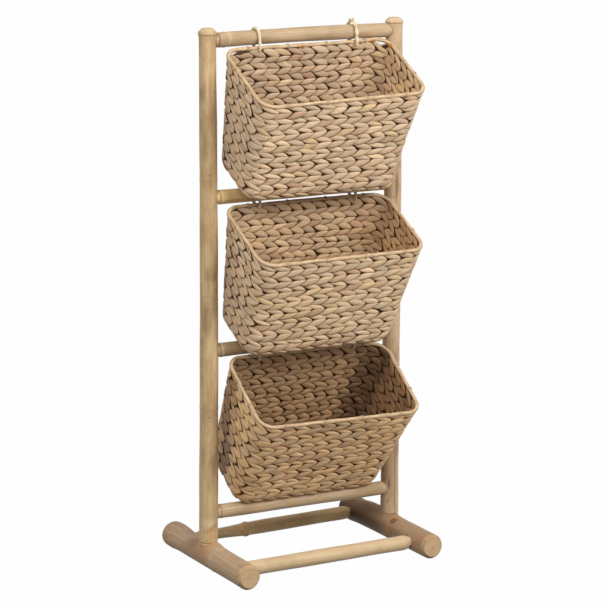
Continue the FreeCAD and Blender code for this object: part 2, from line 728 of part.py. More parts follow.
for tier, rail in (("top", "top_rail"), ("middle", "upper_rail"), ("bottom", "lower_rail")):
    pivot_x = "Sizes.hang_sideways"
    pivot_y = "Places.stand_plane - Sizes.hang_forward"
    pivot_z = f"Places.{rail}_level - Sizes.hang_drop"
    pivot = {"x": pivot_x, "y": pivot_y, "z": pivot_z, "turn": f"Sizes.{tier}_tilt_degrees"}
    make_weave(f"{tier}_basket_weave", pivot)
    make_rim(f"{tier}_basket_rim", pivot)
    make_lashings(f"{tier}_basket_lashings", pivot)
    make_loop(f"{tier}_left_loop", rail, f"{pivot_x} - Places.half_loop_spacing", pivot_y, pivot_z)
    make_loop(f"{tier}_right_loop", rail, f"{pivot_x} + Places.half_loop_spacing", pivot_y, pivot_z)

doc.recompute()

for item in doc.Objects:
    if "Invalid" in item.State or "Error" in item.State:
        raise RuntimeError(f"{item.Name} ({item.Label}) failed to build")
for solid in sub_parts:
    if solid.Shape.isNull() or not solid.Shape.isValid():
        raise RuntimeError(f"{solid.Label} has no valid shape")

os.makedirs("parts", exist_ok=True)
for solid in sub_parts:
    solid.Shape.exportStep(os.path.join("parts", f"{solid.Label}.step"))
    print(solid.Label, len(solid.Shape.Solids), "solids", round(solid.Shape.Volume), "mm3")
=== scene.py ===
# %% [markdown]
# # A bamboo stand with hanging woven baskets
# The stand is a ladder of bamboo poles on two feet. Three baskets of braided leaf hang from its
# rails by cord loops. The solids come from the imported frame, and every pole, basket, rim and loop
# gets its own finished surface here, worked out with numpy in millimetres and stored in metres.

# %% Load the frame
import json
import math

import bpy
import numpy as np
from mathutils import Matrix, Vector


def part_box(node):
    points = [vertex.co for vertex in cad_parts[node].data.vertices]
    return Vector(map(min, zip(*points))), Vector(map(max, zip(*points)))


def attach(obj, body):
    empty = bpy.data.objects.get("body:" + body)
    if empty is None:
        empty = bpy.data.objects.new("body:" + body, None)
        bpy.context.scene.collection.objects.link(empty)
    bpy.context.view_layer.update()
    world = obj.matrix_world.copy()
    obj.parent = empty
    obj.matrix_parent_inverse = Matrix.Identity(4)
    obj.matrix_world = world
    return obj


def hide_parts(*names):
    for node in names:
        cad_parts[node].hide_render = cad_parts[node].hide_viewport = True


MM = 0.001
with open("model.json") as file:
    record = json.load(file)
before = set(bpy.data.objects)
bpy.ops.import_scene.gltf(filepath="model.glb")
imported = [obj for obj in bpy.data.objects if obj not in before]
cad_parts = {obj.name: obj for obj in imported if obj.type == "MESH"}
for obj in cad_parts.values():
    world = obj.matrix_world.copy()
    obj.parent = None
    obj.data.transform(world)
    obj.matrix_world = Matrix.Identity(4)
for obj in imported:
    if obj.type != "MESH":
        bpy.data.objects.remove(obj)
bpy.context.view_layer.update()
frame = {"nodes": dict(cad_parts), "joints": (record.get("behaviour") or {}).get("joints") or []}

# %% [markdown]
# ## Camera
# The photograph was taken from the left of the front, a little above the middle basket, with a
# long lens. The numbers below come from fitting the edges of posts, rails and feet, so the
# render lies over the photograph. A small shift puts the object where the photograph has it.

# %% Camera at the photograph's place
CAMERA_TURN, CAMERA_RISE, CAMERA_ROLL = -29.201, 11.801, -0.219
CAMERA_DISTANCE, AIM_HEIGHT = 4275.27 * MM, 455 * MM
FOCAL_PIXELS, FRAME_PIXELS, SENSOR_WIDTH = 2549.8, 605, 36.0
CENTRE_PIXEL = (301.568, 292.098)

left_low, left_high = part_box("left_post")
stand_plane = (left_low.y + left_high.y) / 2 / MM


def add_object(name, data):
    """A new object that holds the data, linked into the scene."""
    holder = bpy.data.objects.new(name, data)
    bpy.context.scene.collection.objects.link(holder)
    return holder


def looking_in(turn, rise, distance, aim_y=0.0, roll=0.0):
    """Place on a sphere round the stand's middle, turned from the front, raised from level and facing in."""
    turn, rise, roll = (math.radians(angle) for angle in (turn, rise, roll))
    back = np.array([math.sin(turn) * math.cos(rise), -math.cos(turn) * math.cos(rise), math.sin(rise)])
    right = np.array([math.cos(turn), math.sin(turn), 0.0])
    up = np.cross(back, right)
    place = np.eye(4)
    place[:3, 0] = right * math.cos(roll) - up * math.sin(roll)
    place[:3, 1] = right * math.sin(roll) + up * math.cos(roll)
    place[:3, 2] = back
    place[:3, 3] = np.array([0.0, aim_y, AIM_HEIGHT]) + back * distance
    return Matrix(place.tolist())


lens = bpy.data.cameras.new("camera")
lens.sensor_width = SENSOR_WIDTH
lens.lens = FOCAL_PIXELS / FRAME_PIXELS * lens.sensor_width
lens.shift_x = (FRAME_PIXELS / 2 - CENTRE_PIXEL[0]) / FRAME_PIXELS
lens.shift_y = (CENTRE_PIXEL[1] - FRAME_PIXELS / 2) / FRAME_PIXELS
camera = add_object("camera", lens)
camera.matrix_world = looking_in(CAMERA_TURN, CAMERA_RISE, CAMERA_DISTANCE, stand_plane * MM, CAMERA_ROLL)
bpy.context.scene.camera = camera
print("camera lens", round(lens.lens, 1), "mm")

# %% [markdown]
# ## Colours and node helpers
# Colours are written as they look on a screen, from 0 to 255, and turned into the linear values
# that shaders work with. A material is a small graph, so a few helpers keep each one short.

# %% Colour and shader helpers
def paint(red, green, blue):
    """Screen colour to linear: divide by 255, then ((c + 0.055) / 1.055) ^ 2.4, or c / 12.92 when dark."""
    share = np.array([red, green, blue]) / 255
    linear = np.where(share > 0.04045, ((share + 0.055) / 1.055) ** 2.4, share / 12.92)
    return (*linear.tolist(), 1.0)


WHITE, BLACK = (1, 1, 1, 1), (0, 0, 0, 1)


class Graph:
    """The node tree of a material or world, with short calls to add, join and set nodes."""

    def __init__(self, name, kind="materials", shader="Principled BSDF"):
        self.owner = getattr(bpy.data, kind).new(name)
        self.owner.use_nodes = True
        self.nodes, self.links = self.owner.node_tree.nodes, self.owner.node_tree.links
        self.shader = self.nodes[shader]

    def add(self, kind, inputs=None, **settings):
        node = self.nodes.new(kind)
        for key, value in settings.items():
            setattr(node, key, value)
        for key, value in (inputs or {}).items():
            self.feed(node, key, value)
        return node

    def feed(self, node, key, value):
        socket = node.inputs[key]
        if isinstance(value, bpy.types.NodeSocket):
            self.links.new(value, socket)
        else:
            socket.default_value = value

    def attribute(self, name, output="Vector"):
        return self.add("ShaderNodeAttribute", attribute_name=name).outputs[output]

    def object_place(self):
        return self.add("ShaderNodeTexCoord").outputs["Object"]

    def noise(self, vector, scale, detail=4.0, roughness=0.55):
        """Noise on a vector that is first scaled along each axis."""
        scaled = self.add("ShaderNodeMapping", {"Vector": vector, "Scale": scale}).outputs["Vector"]
        inputs = {"Vector": scaled, "Scale": 1.0, "Detail": detail, "Roughness": roughness}
        return self.add("ShaderNodeTexNoise", inputs).outputs["Fac"]

    def ramp(self, value, *stops):
        node = self.add("ShaderNodeValToRGB", {"Fac": value})
        band = node.color_ramp
        while len(band.elements) < len(stops):
            band.elements.new(0.5)
        for element, (place, colour) in zip(band.elements, stops):
            element.position = place
            element.color = colour
        return node.outputs["Color"]

    def share(self, value, low, high, most):
        """A grey that is 0 up to low and grows to most at high."""
        return self.ramp(value, (low, BLACK), (high, (most, most, most, 1)))

    def mix(self, share, first, second, how="MIX"):
        node = self.add("ShaderNodeMix", data_type="RGBA", blend_type=how)
        for index, value in ((0, share), (6, first), (7, second)):
            self.feed(node, index, value)
        return node.outputs[2]

    def sums(self, how, *values):
        node = self.add("ShaderNodeMath", operation=how)
        for index, value in enumerate(values):
            self.feed(node, index, value)
        return node.outputs[0]

    def bump(self, height, depth, strength=0.6):
        inputs = {"Height": height, "Distance": depth, "Strength": strength}
        return self.add("ShaderNodeBump", inputs).outputs["Normal"]

    def finish(self, **sockets):
        for key, value in sockets.items():
            self.feed(self.shader, key.replace("_", " "), value)
        return self.owner


print("shader helpers ready")

# %% [markdown]
# ## Floor and light
# A photo studio lights bamboo with large soft boxes and a white sweep. The room is brighter from
# above than from the side, so a world that grows lighter upwards stands for it, and two broad
# lamps stand high at the front, one each side. The camera sees the floor almost white, with a
# faint shadow left. For the light itself the floor is grey, so undersides stay dark.

# %% Floor, world and lamps
FLOOR_HALF, FLOOR_GLOW = 12.0, 0.985
HORIZON_LIGHT, OVERHEAD_LIGHT = 0.52, 0.80
# Turn and rise in degrees, distance and width in metres, and power in watts.
LAMPS = {"right_lamp": (16, 34, 3.0, 1.2, 69), "left_lamp": (-50, 38, 3.0, 1.4, 37)}


def floor_material():
    graph = Graph("white_sweep")
    shadow = graph.add("ShaderNodeBsdfDiffuse", {"Color": paint(122, 120, 117)}).outputs[0]
    glow = graph.add("ShaderNodeEmission", {"Color": WHITE, "Strength": 1.0}).outputs[0]
    path = graph.add("ShaderNodeLightPath")
    seen = graph.sums("MAXIMUM", path.outputs["Is Camera Ray"], path.outputs["Is Glossy Ray"])
    seen = graph.sums("MAXIMUM", seen, path.outputs["Is Transmission Ray"])
    share = graph.sums("MULTIPLY", seen, FLOOR_GLOW)
    mixed = graph.add("ShaderNodeMixShader", {0: share, 1: shadow, 2: glow}).outputs[0]
    graph.links.new(mixed, graph.nodes["Material Output"].inputs["Surface"])
    return graph.owner


floor_mesh = bpy.data.meshes.new("floor")
corner_signs = np.array([(-1, -1), (1, -1), (1, 1), (-1, 1)])
floor_points = np.column_stack([corner_signs * FLOOR_HALF, np.zeros(4)])
floor_mesh.from_pydata(floor_points.tolist(), [], [(0, 1, 2, 3)])
floor_mesh.materials.append(floor_material())
floor = add_object("floor", floor_mesh)


def studio_world():
    """Light from the world rises from the horizon to overhead. The camera sees plain white."""
    graph = Graph("studio", "worlds", "Background")
    heading = graph.add("ShaderNodeSeparateXYZ", {0: graph.add("ShaderNodeTexCoord").outputs["Generated"]})
    rise = graph.add("ShaderNodeMapRange", {
        "Value": heading.outputs["Z"], "To Min": HORIZON_LIGHT, "To Max": OVERHEAD_LIGHT})
    seen = graph.add("ShaderNodeLightPath").outputs["Is Camera Ray"]
    level = graph.add("ShaderNodeMapRange", {"Value": seen, "To Min": rise.outputs["Result"], "To Max": 1.0})
    return graph.finish(Color=WHITE, Strength=level.outputs["Result"])


bpy.context.scene.world = studio_world()
for name, (turn, rise, distance, size, watts) in LAMPS.items():
    lamp = bpy.data.lights.new(name, "AREA")
    lamp.size, lamp.energy = size, watts
    add_object(name, lamp).matrix_world = looking_in(turn, rise, distance)
bpy.context.scene.view_settings.view_transform = "Standard"
print("floor, world and two lamps")

# %% [markdown]
# ## Meshes from arrays
# Every new piece starts as an array of points. The helpers below number the faces of a grid,
# close its ends, turn the faces outwards and hand the arrays to Blender in one go. Extra values
# per point, such as a colour or a place along the grain, are stored as attributes for materials.

# %% Mesh helpers
def grid_quads(rows, columns):
    """Corner numbers of a grid of points that closes on itself round the columns."""
    row, column = np.meshgrid(np.arange(rows - 1), np.arange(columns), indexing="ij")
    following = (column + 1) % columns
    corners = [row * columns + column, row * columns + following,
               (row + 1) * columns + following, (row + 1) * columns + column]
    return np.stack(corners, -1).reshape(-1, 4)


def fan(centre, ring):
    """Triangles from a centre point to each edge of a ring of points."""
    return np.column_stack([np.full(len(ring), centre), ring, np.roll(ring, -1)])


def end_fans(count, rows, columns):
    """Fans that close both ends of a grid, whose two middle points are the last of all the points."""
    ring = np.arange(columns)
    return [fan(count - 2, ring[::-1]), fan(count - 1, ring + (rows - 1) * columns)]


def with_middles(grid):
    """The points of a grid in one list, and after them the middles of its first and last row."""
    return np.vstack([grid.reshape(-1, 3), grid[0].mean(0), grid[-1].mean(0)])


def turned_out(points, faces):
    """Flip all faces if the volume they enclose, a sum of a . (b x c) / 6, comes out negative."""
    volume = 0.0
    for group in faces:
        for last in range(2, group.shape[1]):
            a, b, c = (points[group[:, index]] for index in (0, last - 1, last))
            volume += np.einsum("ij,ij->", a, np.cross(b, c)) / 6
    return [group[:, ::-1] for group in faces] if volume < 0 else faces


def full_turn(count):
    return np.arange(count) * 2 * np.pi / count


def unit(vectors):
    return vectors / np.linalg.norm(vectors, axis=-1, keepdims=True)


ATTRIBUTE_KINDS = {1: ("FLOAT", "value"), 3: ("FLOAT_VECTOR", "vector"), 4: ("FLOAT_COLOR", "color")}


def add_piece(name, points, faces, body, materials, replaced=(), attributes=None,
              second_faces=0, sharp=None):
    """Make a mesh from millimetre points, give it materials and hang it on a body of the frame."""
    mesh = bpy.data.meshes.new(name)
    mesh.from_pydata((points * MM).tolist(), [], [face for group in faces for face in group.tolist()])
    for material in materials:
        mesh.materials.append(material)
    if second_faces:
        index = np.zeros(len(mesh.polygons), np.int32)
        index[-second_faces:] = 1
        mesh.polygons.foreach_set("material_index", index)
    for key, values in (attributes or {}).items():
        values = np.asarray(values, np.float32).reshape(len(points), -1)
        kind, field = ATTRIBUTE_KINDS[values.shape[1]]
        mesh.attributes.new(key, kind, "POINT").data.foreach_set(field, values.ravel())
    mesh.shade_smooth()
    if sharp:
        mesh.set_sharp_from_angle(angle=math.radians(sharp))
    piece = add_object(name, mesh)
    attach(piece, body)
    if replaced:
        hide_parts(*replaced)


print("mesh helpers ready")

# %% [markdown]
# ## Bamboo
# A bamboo pole is a tube of long fibres with a raised ring at each node, where a leaf sheath once
# grew. It is never quite round or straight. A lathe profile would look machined, so the radius is
# a function of the place along the pole and the turn round it, and the grain follows the pole
# because the material reads a straightened copy of each point, stored as an attribute. Stains,
# scars, pin holes, patches of painted shade and lines of painted shade where rails enter the posts
# are soft spots of colour, also worked out per point, and blended over it.

# %% Bamboo skin and cut ends
def bamboo_skin(name, light, dark, cloudy, gloss=0.42):
    """Fine fibres between two tones, slow streaks and clouds of a third, then the painted marks over all."""
    graph = Graph(name)
    light, dark, cloudy = (paint(*tone) for tone in (light, dark, cloudy))
    culm = graph.attribute("culm")
    fibre = graph.noise(culm, (1100, 1100, 14), 5.0, 0.6)
    streak = graph.noise(culm, (260, 260, 5), 3.0)
    cloud = graph.noise(culm, (40, 40, 16), 4.0, 0.6)
    speck = graph.noise(culm, (460, 460, 150), 2.0)
    tone = graph.ramp(fibre, (0.30, dark), (0.62, light))
    tone = graph.mix(graph.share(streak, 0.44, 0.72, 0.5), tone, dark)
    tone = graph.mix(graph.share(cloud, 0.47, 0.66, 0.65), tone, cloudy)
    tone = graph.mix(graph.share(speck, 0.69, 0.75, 0.6), tone, paint(98, 72, 46))
    kept = graph.mix(graph.attribute("mark", "Alpha"), tone, BLACK)
    tone = graph.mix(1.0, kept, graph.attribute("mark", "Color"), "ADD")
    normal = graph.bump(fibre, 0.0004, 0.35)
    return graph.finish(Base_Color=tone, Roughness=gloss, Specular_IOR_Level=0.2, Normal=normal)


def cut_end():
    """Sawn end grain: fine pores, a small pith dot in the middle and a darker edge."""
    graph = Graph("cut_bamboo")
    light, dark = paint(192, 162, 124), paint(168, 138, 102)
    culm = graph.attribute("culm")
    reach = graph.attribute("end_share", "Fac")
    pores = graph.noise(culm, (900, 900, 900), 4.0, 0.7)
    cloud = graph.noise(culm, (90, 90, 90), 3.0)
    tone = graph.ramp(pores, (0.34, dark), (0.62, light))
    tone = graph.mix(graph.share(cloud, 0.45, 0.7, 0.5), tone, dark)
    edge = graph.ramp(reach, (0.0, (0.42, 0.36, 0.30, 1)), (0.05, (0.62, 0.56, 0.50, 1)),
                      (0.10, WHITE), (0.88, WHITE), (1.0, (0.84, 0.80, 0.75, 1)))
    tone = graph.mix(1.0, tone, edge, "MULTIPLY")
    return graph.finish(Base_Color=tone, Roughness=0.7, Normal=graph.bump(pores, 0.0004, 0.4))


# Light, dark and cloudy tone of each skin, and its roughness where that differs.
SKIN_TONES = {
    "post": ((206, 180, 138), (160, 132, 92), (156, 126, 90)),
    "pink_post": ((214, 188, 152), (172, 144, 112), (168, 138, 108)),
    "rail": ((192, 168, 136), (156, 130, 98), (152, 126, 92)),
    "warm": ((220, 188, 132), (186, 152, 102), (178, 146, 98)),
    "pale": ((202, 178, 142), (176, 149, 112), (172, 146, 110)),
    "olive": ((206, 176, 130), (168, 138, 96), (154, 126, 90)),
    "foot": ((188, 160, 128), (148, 121, 95), (150, 118, 92), 0.6),
}
SKINS = {name: bamboo_skin(name + "_bamboo", *tones) for name, tones in SKIN_TONES.items()}
POLE_END = cut_end()
print(len(SKINS), "bamboo skins")

# %% [markdown]
# ## One pole
# A pole's radius starts from a straight taper. Being out of round, slow swelling, node ridges,
# necks, cracks, a worn seat and rounded ends each add or take a little. A mark is a patch of
# colour with soft edges, given by its middle and half size along the pole and round it.

# %% Pole surface
RIGHT, REARWARD, UP = np.eye(3)
NODE_STEPS = np.array([-6.0, -4.4, -3.2, -2.2, -1.4, -0.7, 0.0, 0.7, 1.4, 2.2, 3.2, 4.4, 6.0])
END_STEPS = np.array([0.0, 0.06, 0.2, 0.45, 0.72, 1.0])
MARK_STEPS = np.array([-1.2, -0.8, 0.0, 0.8, 1.2])
ENTRY_STEPS = np.arange(5.0, 19.0)
CAP_SHARES = np.array([0.06, 0.20, 0.45, 0.70, 0.90])
POINTS_ROUND, POLE_STEP, LEAST_STEP, NODE_WIDTH, LEAST_BEVEL = 48, 4.0, 0.12, 2.4, 0.01
# How far a pole is out of round, and the height and length of its swelling and of its shallow flutes.
OVAL, SWELL, SWELL_LENGTH, FLUTE, FLUTE_LENGTH = 0.18, 0.20, 31.0, 0.08, 17.0
CRACK_FADE, SHARP_EDGE, NO_BEVEL = 4.0, 40, (0, 0, 1)
# The line of painted shade where a pole enters a post: its strength, distance from the post and half width.
ENTRY_SHADE_SHARE, ENTRY_GAP, ENTRY_HALF = 0.7, 0.4, 1.3
BROWN, AMBER_STAIN, RUST = paint(112, 80, 50), paint(190, 146, 92), paint(172, 124, 80)
CHALK, TAR, CLAY, SCAR = paint(206, 188, 158), paint(62, 42, 26), paint(164, 128, 98), paint(158, 118, 76)


def turned_from(turn, place):
    """Smallest signed angle from a place round the pole."""
    return np.angle(np.exp(1j * (turn - math.radians(place))))


def pole_steps(length, bevels, nodes, marks, enters):
    """Places of the rings of points: even steps, and closer ones at the ends, nodes, marks and joints."""
    steps = [np.linspace(0, length, int(length / POLE_STEP) + 2)]
    steps += [bevels[0][0] * END_STEPS, length - bevels[1][0] * END_STEPS]
    steps += [node[0] + NODE_STEPS * node[2] / NODE_WIDTH for node in nodes]
    steps += [mark[2] + mark[3] * MARK_STEPS for mark in marks]
    steps += [np.abs(end - ENTRY_STEPS) for end, _ in zip((0, length), enters)]
    steps = np.unique(np.clip(np.concatenate(steps), 0, length).round(2))
    return steps[np.append(np.diff(steps) > LEAST_STEP, True)]


def pole_radius(along, turn, radii, nodes, rng):
    """Radius = taper + out-of-round cos 2t + slow swell along + at each node rise * exp(-(d / width)^2)."""
    phase = rng.uniform(0, 2 * np.pi, 3)
    taper = radii[0] + (radii[1] - radii[0]) * along / along.max()
    result = taper + OVAL * np.cos(2 * (turn - phase[0])) + SWELL * np.sin(along / SWELL_LENGTH + phase[1])
    result = result + FLUTE * np.sin(3 * turn + along / FLUTE_LENGTH + phase[2])
    for place, rise, width in nodes:
        result = result + rise * np.exp(-((along - place) / width) ** 2)
    return result, taper


def worn(reach, along, turn, length, bevels, cracks, seats):
    """Take cracks, seats and bevels off the radius. A bevel (long, deep, power) draws its end in by
    deep * (1 - from_end / long) ^ power."""
    for facing, spread, deep, first, last in cracks:
        within = 1 / (1 + np.exp((first - along) / CRACK_FADE)) / (1 + np.exp((along - last) / CRACK_FADE))
        reach = reach - deep * within * np.exp(-(turned_from(turn, facing) / math.radians(spread)) ** 2)
    for place, half, deep in seats:
        reach = reach - deep * np.exp(-((along - place) / half) ** 4) * np.maximum(np.cos(turn), 0) ** 2
    for (long, deep, power), from_end in zip(bevels, (along, length - along)):
        reach = reach - deep * np.clip(1 - from_end / max(long, LEAST_BEVEL), 0, 1) ** power
    return reach


def mark_colours(along, turn, marks):
    """Soft patches exp(-(d / half)^4), laid over each other: colour times share, and the share as alpha.
    A mark without a place round the pole goes all round."""
    layer = np.zeros(along.shape + (4,))
    for colour, share, place, half, *spot in marks:
        weight = share * np.exp(-((along - place) / half) ** 4)
        if spot:
            weight = weight * np.exp(-(turned_from(turn, spot[0]) / math.radians(spot[1])) ** 4)
        layer = layer * (1 - weight[..., None]) + weight[..., None] * np.array(colour)
    return layer


def painted_entry_shade(colours, along, turn, length, reach, enters):
    """An end that enters a post of radius R gets a line of painted shade where
    from_end = sqrt(R^2 - (radius * sin t)^2)."""
    for radius, from_end in zip(enters, (along, length - along)):
        meeting = np.sqrt(np.maximum(radius ** 2 - (reach * np.sin(turn)) ** 2, 0))
        line = ENTRY_SHADE_SHARE * np.exp(-((from_end - meeting - ENTRY_GAP) / ENTRY_HALF) ** 2)[..., None]
        colours = colours * (1 - line) + line * np.array(BROWN)
    return colours


def capped(rings, first, last):
    """Add the rings of the flat ends: the first end's from its middle out, the last end's back in."""
    return np.vstack([first, rings, last[::-1]])


def make_pole(name, start, heading, length, radii, skin, seed, nodes=(), marks=(),
              bevels=(NO_BEVEL, NO_BEVEL), bow=0.5, bend=None, lean=0.0, cracks=(), seats=(), enters=()):
    """A pole carried along a line: point = start + along * heading + radius * (cos t, sin t) across."""
    rng = np.random.default_rng(seed)
    start, heading = np.array(start, float), np.array(heading, float)
    across = UP if abs(heading[2]) < 0.5 else RIGHT
    other = np.cross(heading, across)
    steps = pole_steps(length, bevels, nodes, marks, enters)
    along, turn = np.meshgrid(steps, full_turn(POINTS_ROUND), indexing="ij")
    reach, taper = pole_radius(along, turn, radii, nodes, rng)
    reach = worn(reach, along, turn, length, bevels, cracks, seats)
    colours = painted_entry_shade(mark_colours(along, turn, marks), along, turn, length, reach, enters)

    whole, caps = np.ones((len(CAP_SHARES), POINTS_ROUND)), CAP_SHARES[:, None]
    share = capped(np.ones_like(reach), caps * whole, caps * whole)
    axis_shift = capped(taper, taper[0] * whole, taper[-1] * whole) - radii[1]
    colours = capped(colours, colours[0] * whole[..., None], colours[-1] * whole[..., None])
    reach = capped(reach, caps * reach[0], caps * reach[-1])
    along = capped(along, 0 * whole, length * whole)
    turn = np.broadcast_to(turn[:1], along.shape)
    rows = len(along)

    bend = rng.uniform(0, 2 * np.pi) if bend is None else bend
    sway = bow * np.sin(np.pi * along / length)
    flat_x = reach * np.cos(turn) + sway * math.cos(bend) + lean * axis_shift
    flat_y = reach * np.sin(turn) + sway * math.sin(bend)
    grid = start + along[..., None] * heading + flat_x[..., None] * across + flat_y[..., None] * other
    points = with_middles(grid)
    points[:, 2] = np.maximum(points[:, 2], 0.0)
    culm = np.vstack([np.stack([flat_x, flat_y, along], -1).reshape(-1, 3), [(0, 0, 0), (0, 0, length)]])
    culm = culm * MM + rng.uniform(-2, 2, 3)
    quads = grid_quads(rows, POINTS_ROUND)
    band = np.arange(len(quads)) // POINTS_ROUND
    on_cap = (band < len(CAP_SHARES)) | (band >= rows - 1 - len(CAP_SHARES))
    faces = turned_out(points, [quads[~on_cap], quads[on_cap], *end_fans(len(points), rows, POINTS_ROUND)])
    attributes = {"culm": culm, "mark": np.vstack([colours.reshape(-1, 4), np.zeros((2, 4))]),
                  "end_share": np.append(share.ravel(), (0, 0))}
    add_piece("pole_" + name, points, faces, "stand", [skin, POLE_END], [name], attributes,
              int(on_cap.sum()) + 2 * POINTS_ROUND, SHARP_EDGE)
    return len(faces[0])


print("pole maker ready")

# %% [markdown]
# ## The stand's ten poles
# Two feet lie front to back, two posts stand on them, four rails join the posts and two
# stretchers join the feet. The feet are worn to a seat where the posts stand. Each pole's nodes,
# necks, stains, cracks and patches of painted shade are listed with it, at the places where the photograph
# shows them.
# A node is (place, rise, width), a crack (turn, spread, depth, first and last place), and a mark
# (colour, share, place, half length) with its turn and half spread in degrees if it isn't a band.

# %% Places on the feet and posts
def pole_box(name):
    low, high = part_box(name)
    return np.array(low) / MM, np.array(high) / MM


foot_low, foot_high = pole_box("left_foot")
post_low, post_high = pole_box("left_post")
post_x = -(post_low[0] + post_high[0]) / 2
post_top = post_high[2]
NODE_RISE, FOOT_SLIMMER, FOOT_RAISED = 0.5, 0.9, 0.6
foot_radius = (foot_high[0] - foot_low[0]) / 2 - NODE_RISE
foot_level = foot_high[2] - NODE_RISE - foot_radius
foot_length = foot_high[1] - foot_low[1]
to_post = stand_plane - foot_low[1]
POST_START, POST_RADII = 36.0, {"left": (16.1, 14.1), "right": (15.4, 14.1)}
post_height = post_top - POST_START
print("posts at", round(post_x, 1), "mm either side,", round(post_height, 1), "mm long")

# %% Nodes and marks of the feet and posts
FOOT_MARKS = {
    "left": [
        (CLAY, 0.45, to_post + 4, 36), (RUST, 0.55, to_post - 14, 14, -50, 50),
        # Painted shade: the brown patch at to_post + 30 on the upper left flank behind the post, and the
        # brown band at 130 round the underside.
        (CHALK, 0.18, to_post - 42, 4.0), (BROWN, 0.40, to_post + 30, 16, -40, 28),
        (BROWN, 0.55, 130, 160, 180, 44), (AMBER_STAIN, 0.12, 2, 6), (BROWN, 0.45, 5, 2.4, -118, 9),
        (BROWN, 0.40, 5, 2.6, -70, 10), (TAR, 0.9, foot_length - 3, 5, -30, 12)],
    "right": [
        # Painted shade: the brown band at to_post + 86 behind the post, the brown and tar patches behind it
        # on the inner flank, and the brown band at 130 round the underside.
        (BROWN, 0.29, 140, 400), (BROWN, 0.38, to_post + 86, 76), (BROWN, 0.80, to_post + 90, 90, -82, 76),
        (TAR, 0.85, to_post + 76, 100, -114, 50), (RUST, 0.55, to_post - 29, 9),
        (BROWN, 0.55, 130, 160, 180, 44), (TAR, 0.95, to_post - 34, 6.6, -30, 15),
        (SCAR, 0.90, to_post - 34, 3.2, -30, 6.5), (AMBER_STAIN, 0.12, 2, 6), (BROWN, 0.5, 5, 2.2, -100, 8),
        (BROWN, 0.45, 6, 2.4, -128, 8), (RUST, 0.7, 7, 4, -30, 12), (BROWN, 0.4, 40, 3, -40, 5),
        (BROWN, 0.4, 52, 3, -64, 6)],
}
POST_MARKS = {
    "left": [
        (CHALK, 0.40, 46, 7, -125, 40), (RUST, 0.50, 30, 4, -135, 13), (RUST, 0.62, 32.5, 4, -113, 13),
        (RUST, 0.70, 36, 4.5, -92, 14), (BROWN, 0.45, 40, 3.0, -75, 9), (RUST, 0.60, 38, 7, -60, 14),
        (AMBER_STAIN, 0.25, 24, 10, -90, 50), (TAR, 0.9, 15.3, 1.0, -127, 4), (CLAY, 0.95, 2, 7.0),
        (BROWN, 0.4, 10, 0.8), (TAR, 0.9, 632, 1.0, -107, 5), (TAR, 0.9, 227, 1.0, -114, 5),
        (BROWN, 0.35, 677, 26, -142, 14), (RUST, 0.30, 640, 20, -40, 50),
        (BROWN, 0.35, post_height - 11, 0.9)],
    "right": [
        # The brown patch at 70 on the left side, turned 172, is painted shade.
        (BROWN, 0.24, 60, 100), (CLAY, 0.20, 60, 100), (BROWN, 0.50, 70, 90, 172, 28), (CLAY, 0.95, 3, 7.0),
        (BROWN, 0.5, 11, 0.9), (BROWN, 0.75, 587, 26, -93, 7), (BROWN, 0.6, 592, 20, -80, 4),
        (CHALK, 0.40, 62, 54, -58, 14), (BROWN, 0.95, 66, 58, -82.5, 5.5), (TAR, 0.7, 67, 9, -129, 3),
        (TAR, 0.5, 66, 8, -120, 2.5), (TAR, 0.6, 34, 3, -136, 4), (BROWN, 0.35, post_height - 7.2, 0.9)],
}
POST_NODES = {"left": ((624, 0.35, 2.6), (411, 0.35, 2.6), (242, 0.35, 2.6)),
              "right": ((286, 0.35, 2.6), (520, 0.3, 2.6))}
POST_CRACKS = {"left": (), "right": ((-77, 5.0, 1.4, 14, 106), (-93, 4.0, 0.7, 560, 612))}
POST_BEVELS = (NO_BEVEL, (6.0, 5.4, 1.25))
# How far each post stands above its solid, the height of its cap, and how far its middle bows to the right.
POST_CAPS = {"left": (0.0, 12.0, 2.0), "right": (1.8, 10.0, 0.3)}
POST_LEAN = 0.8
FOOT_RINGS = {"left": 36, "right": 37}
FOOT_BEVELS = ((6.5, 4.6, 1.25), (9.0, 6.5, 2.4))
# One broad flat runs along the whole of each foot.
FOOT_CRACKS = ((-140, 38, 1.4, -99, 999),)
# Where a foot is worn down (or, below zero, stands up) along its top: place, half length and depth.
FOOT_SEATS = {"left": ((to_post + 64, 27, 3.8), (to_post, 24, -3.6)), "right": ((to_post + 32, 54, -4.6),)}
# Small dark specks, then larger soft smudges: colour, number and distance kept from the ends, and the
# ranges of share, half length, turn and spread.
FRECKLES = ((TAR, 40, 20, (0.3, 0.7), (0.6, 1.3), (-180, 180), (2.5, 5)),
            (BROWN, 34, 40, (0.15, 0.42), (5, 26), (-180, 60), (9, 30)))


def freckles(length, rng):
    """Marks scattered over the pole. Specks are drawn first, and come last so that they lie on top."""
    drawn = []
    for colour, count, margin, shares, halves, turns, spreads in FRECKLES:
        ranges = (shares, (margin, length - margin), halves, turns, spreads)
        drawn.append([(colour, *(rng.uniform(*limits) for limits in ranges)) for _ in range(count)])
    return drawn[1] + drawn[0]


print(sum(len(marks) for marks in (*FOOT_MARKS.values(), *POST_MARKS.values())), "placed marks")

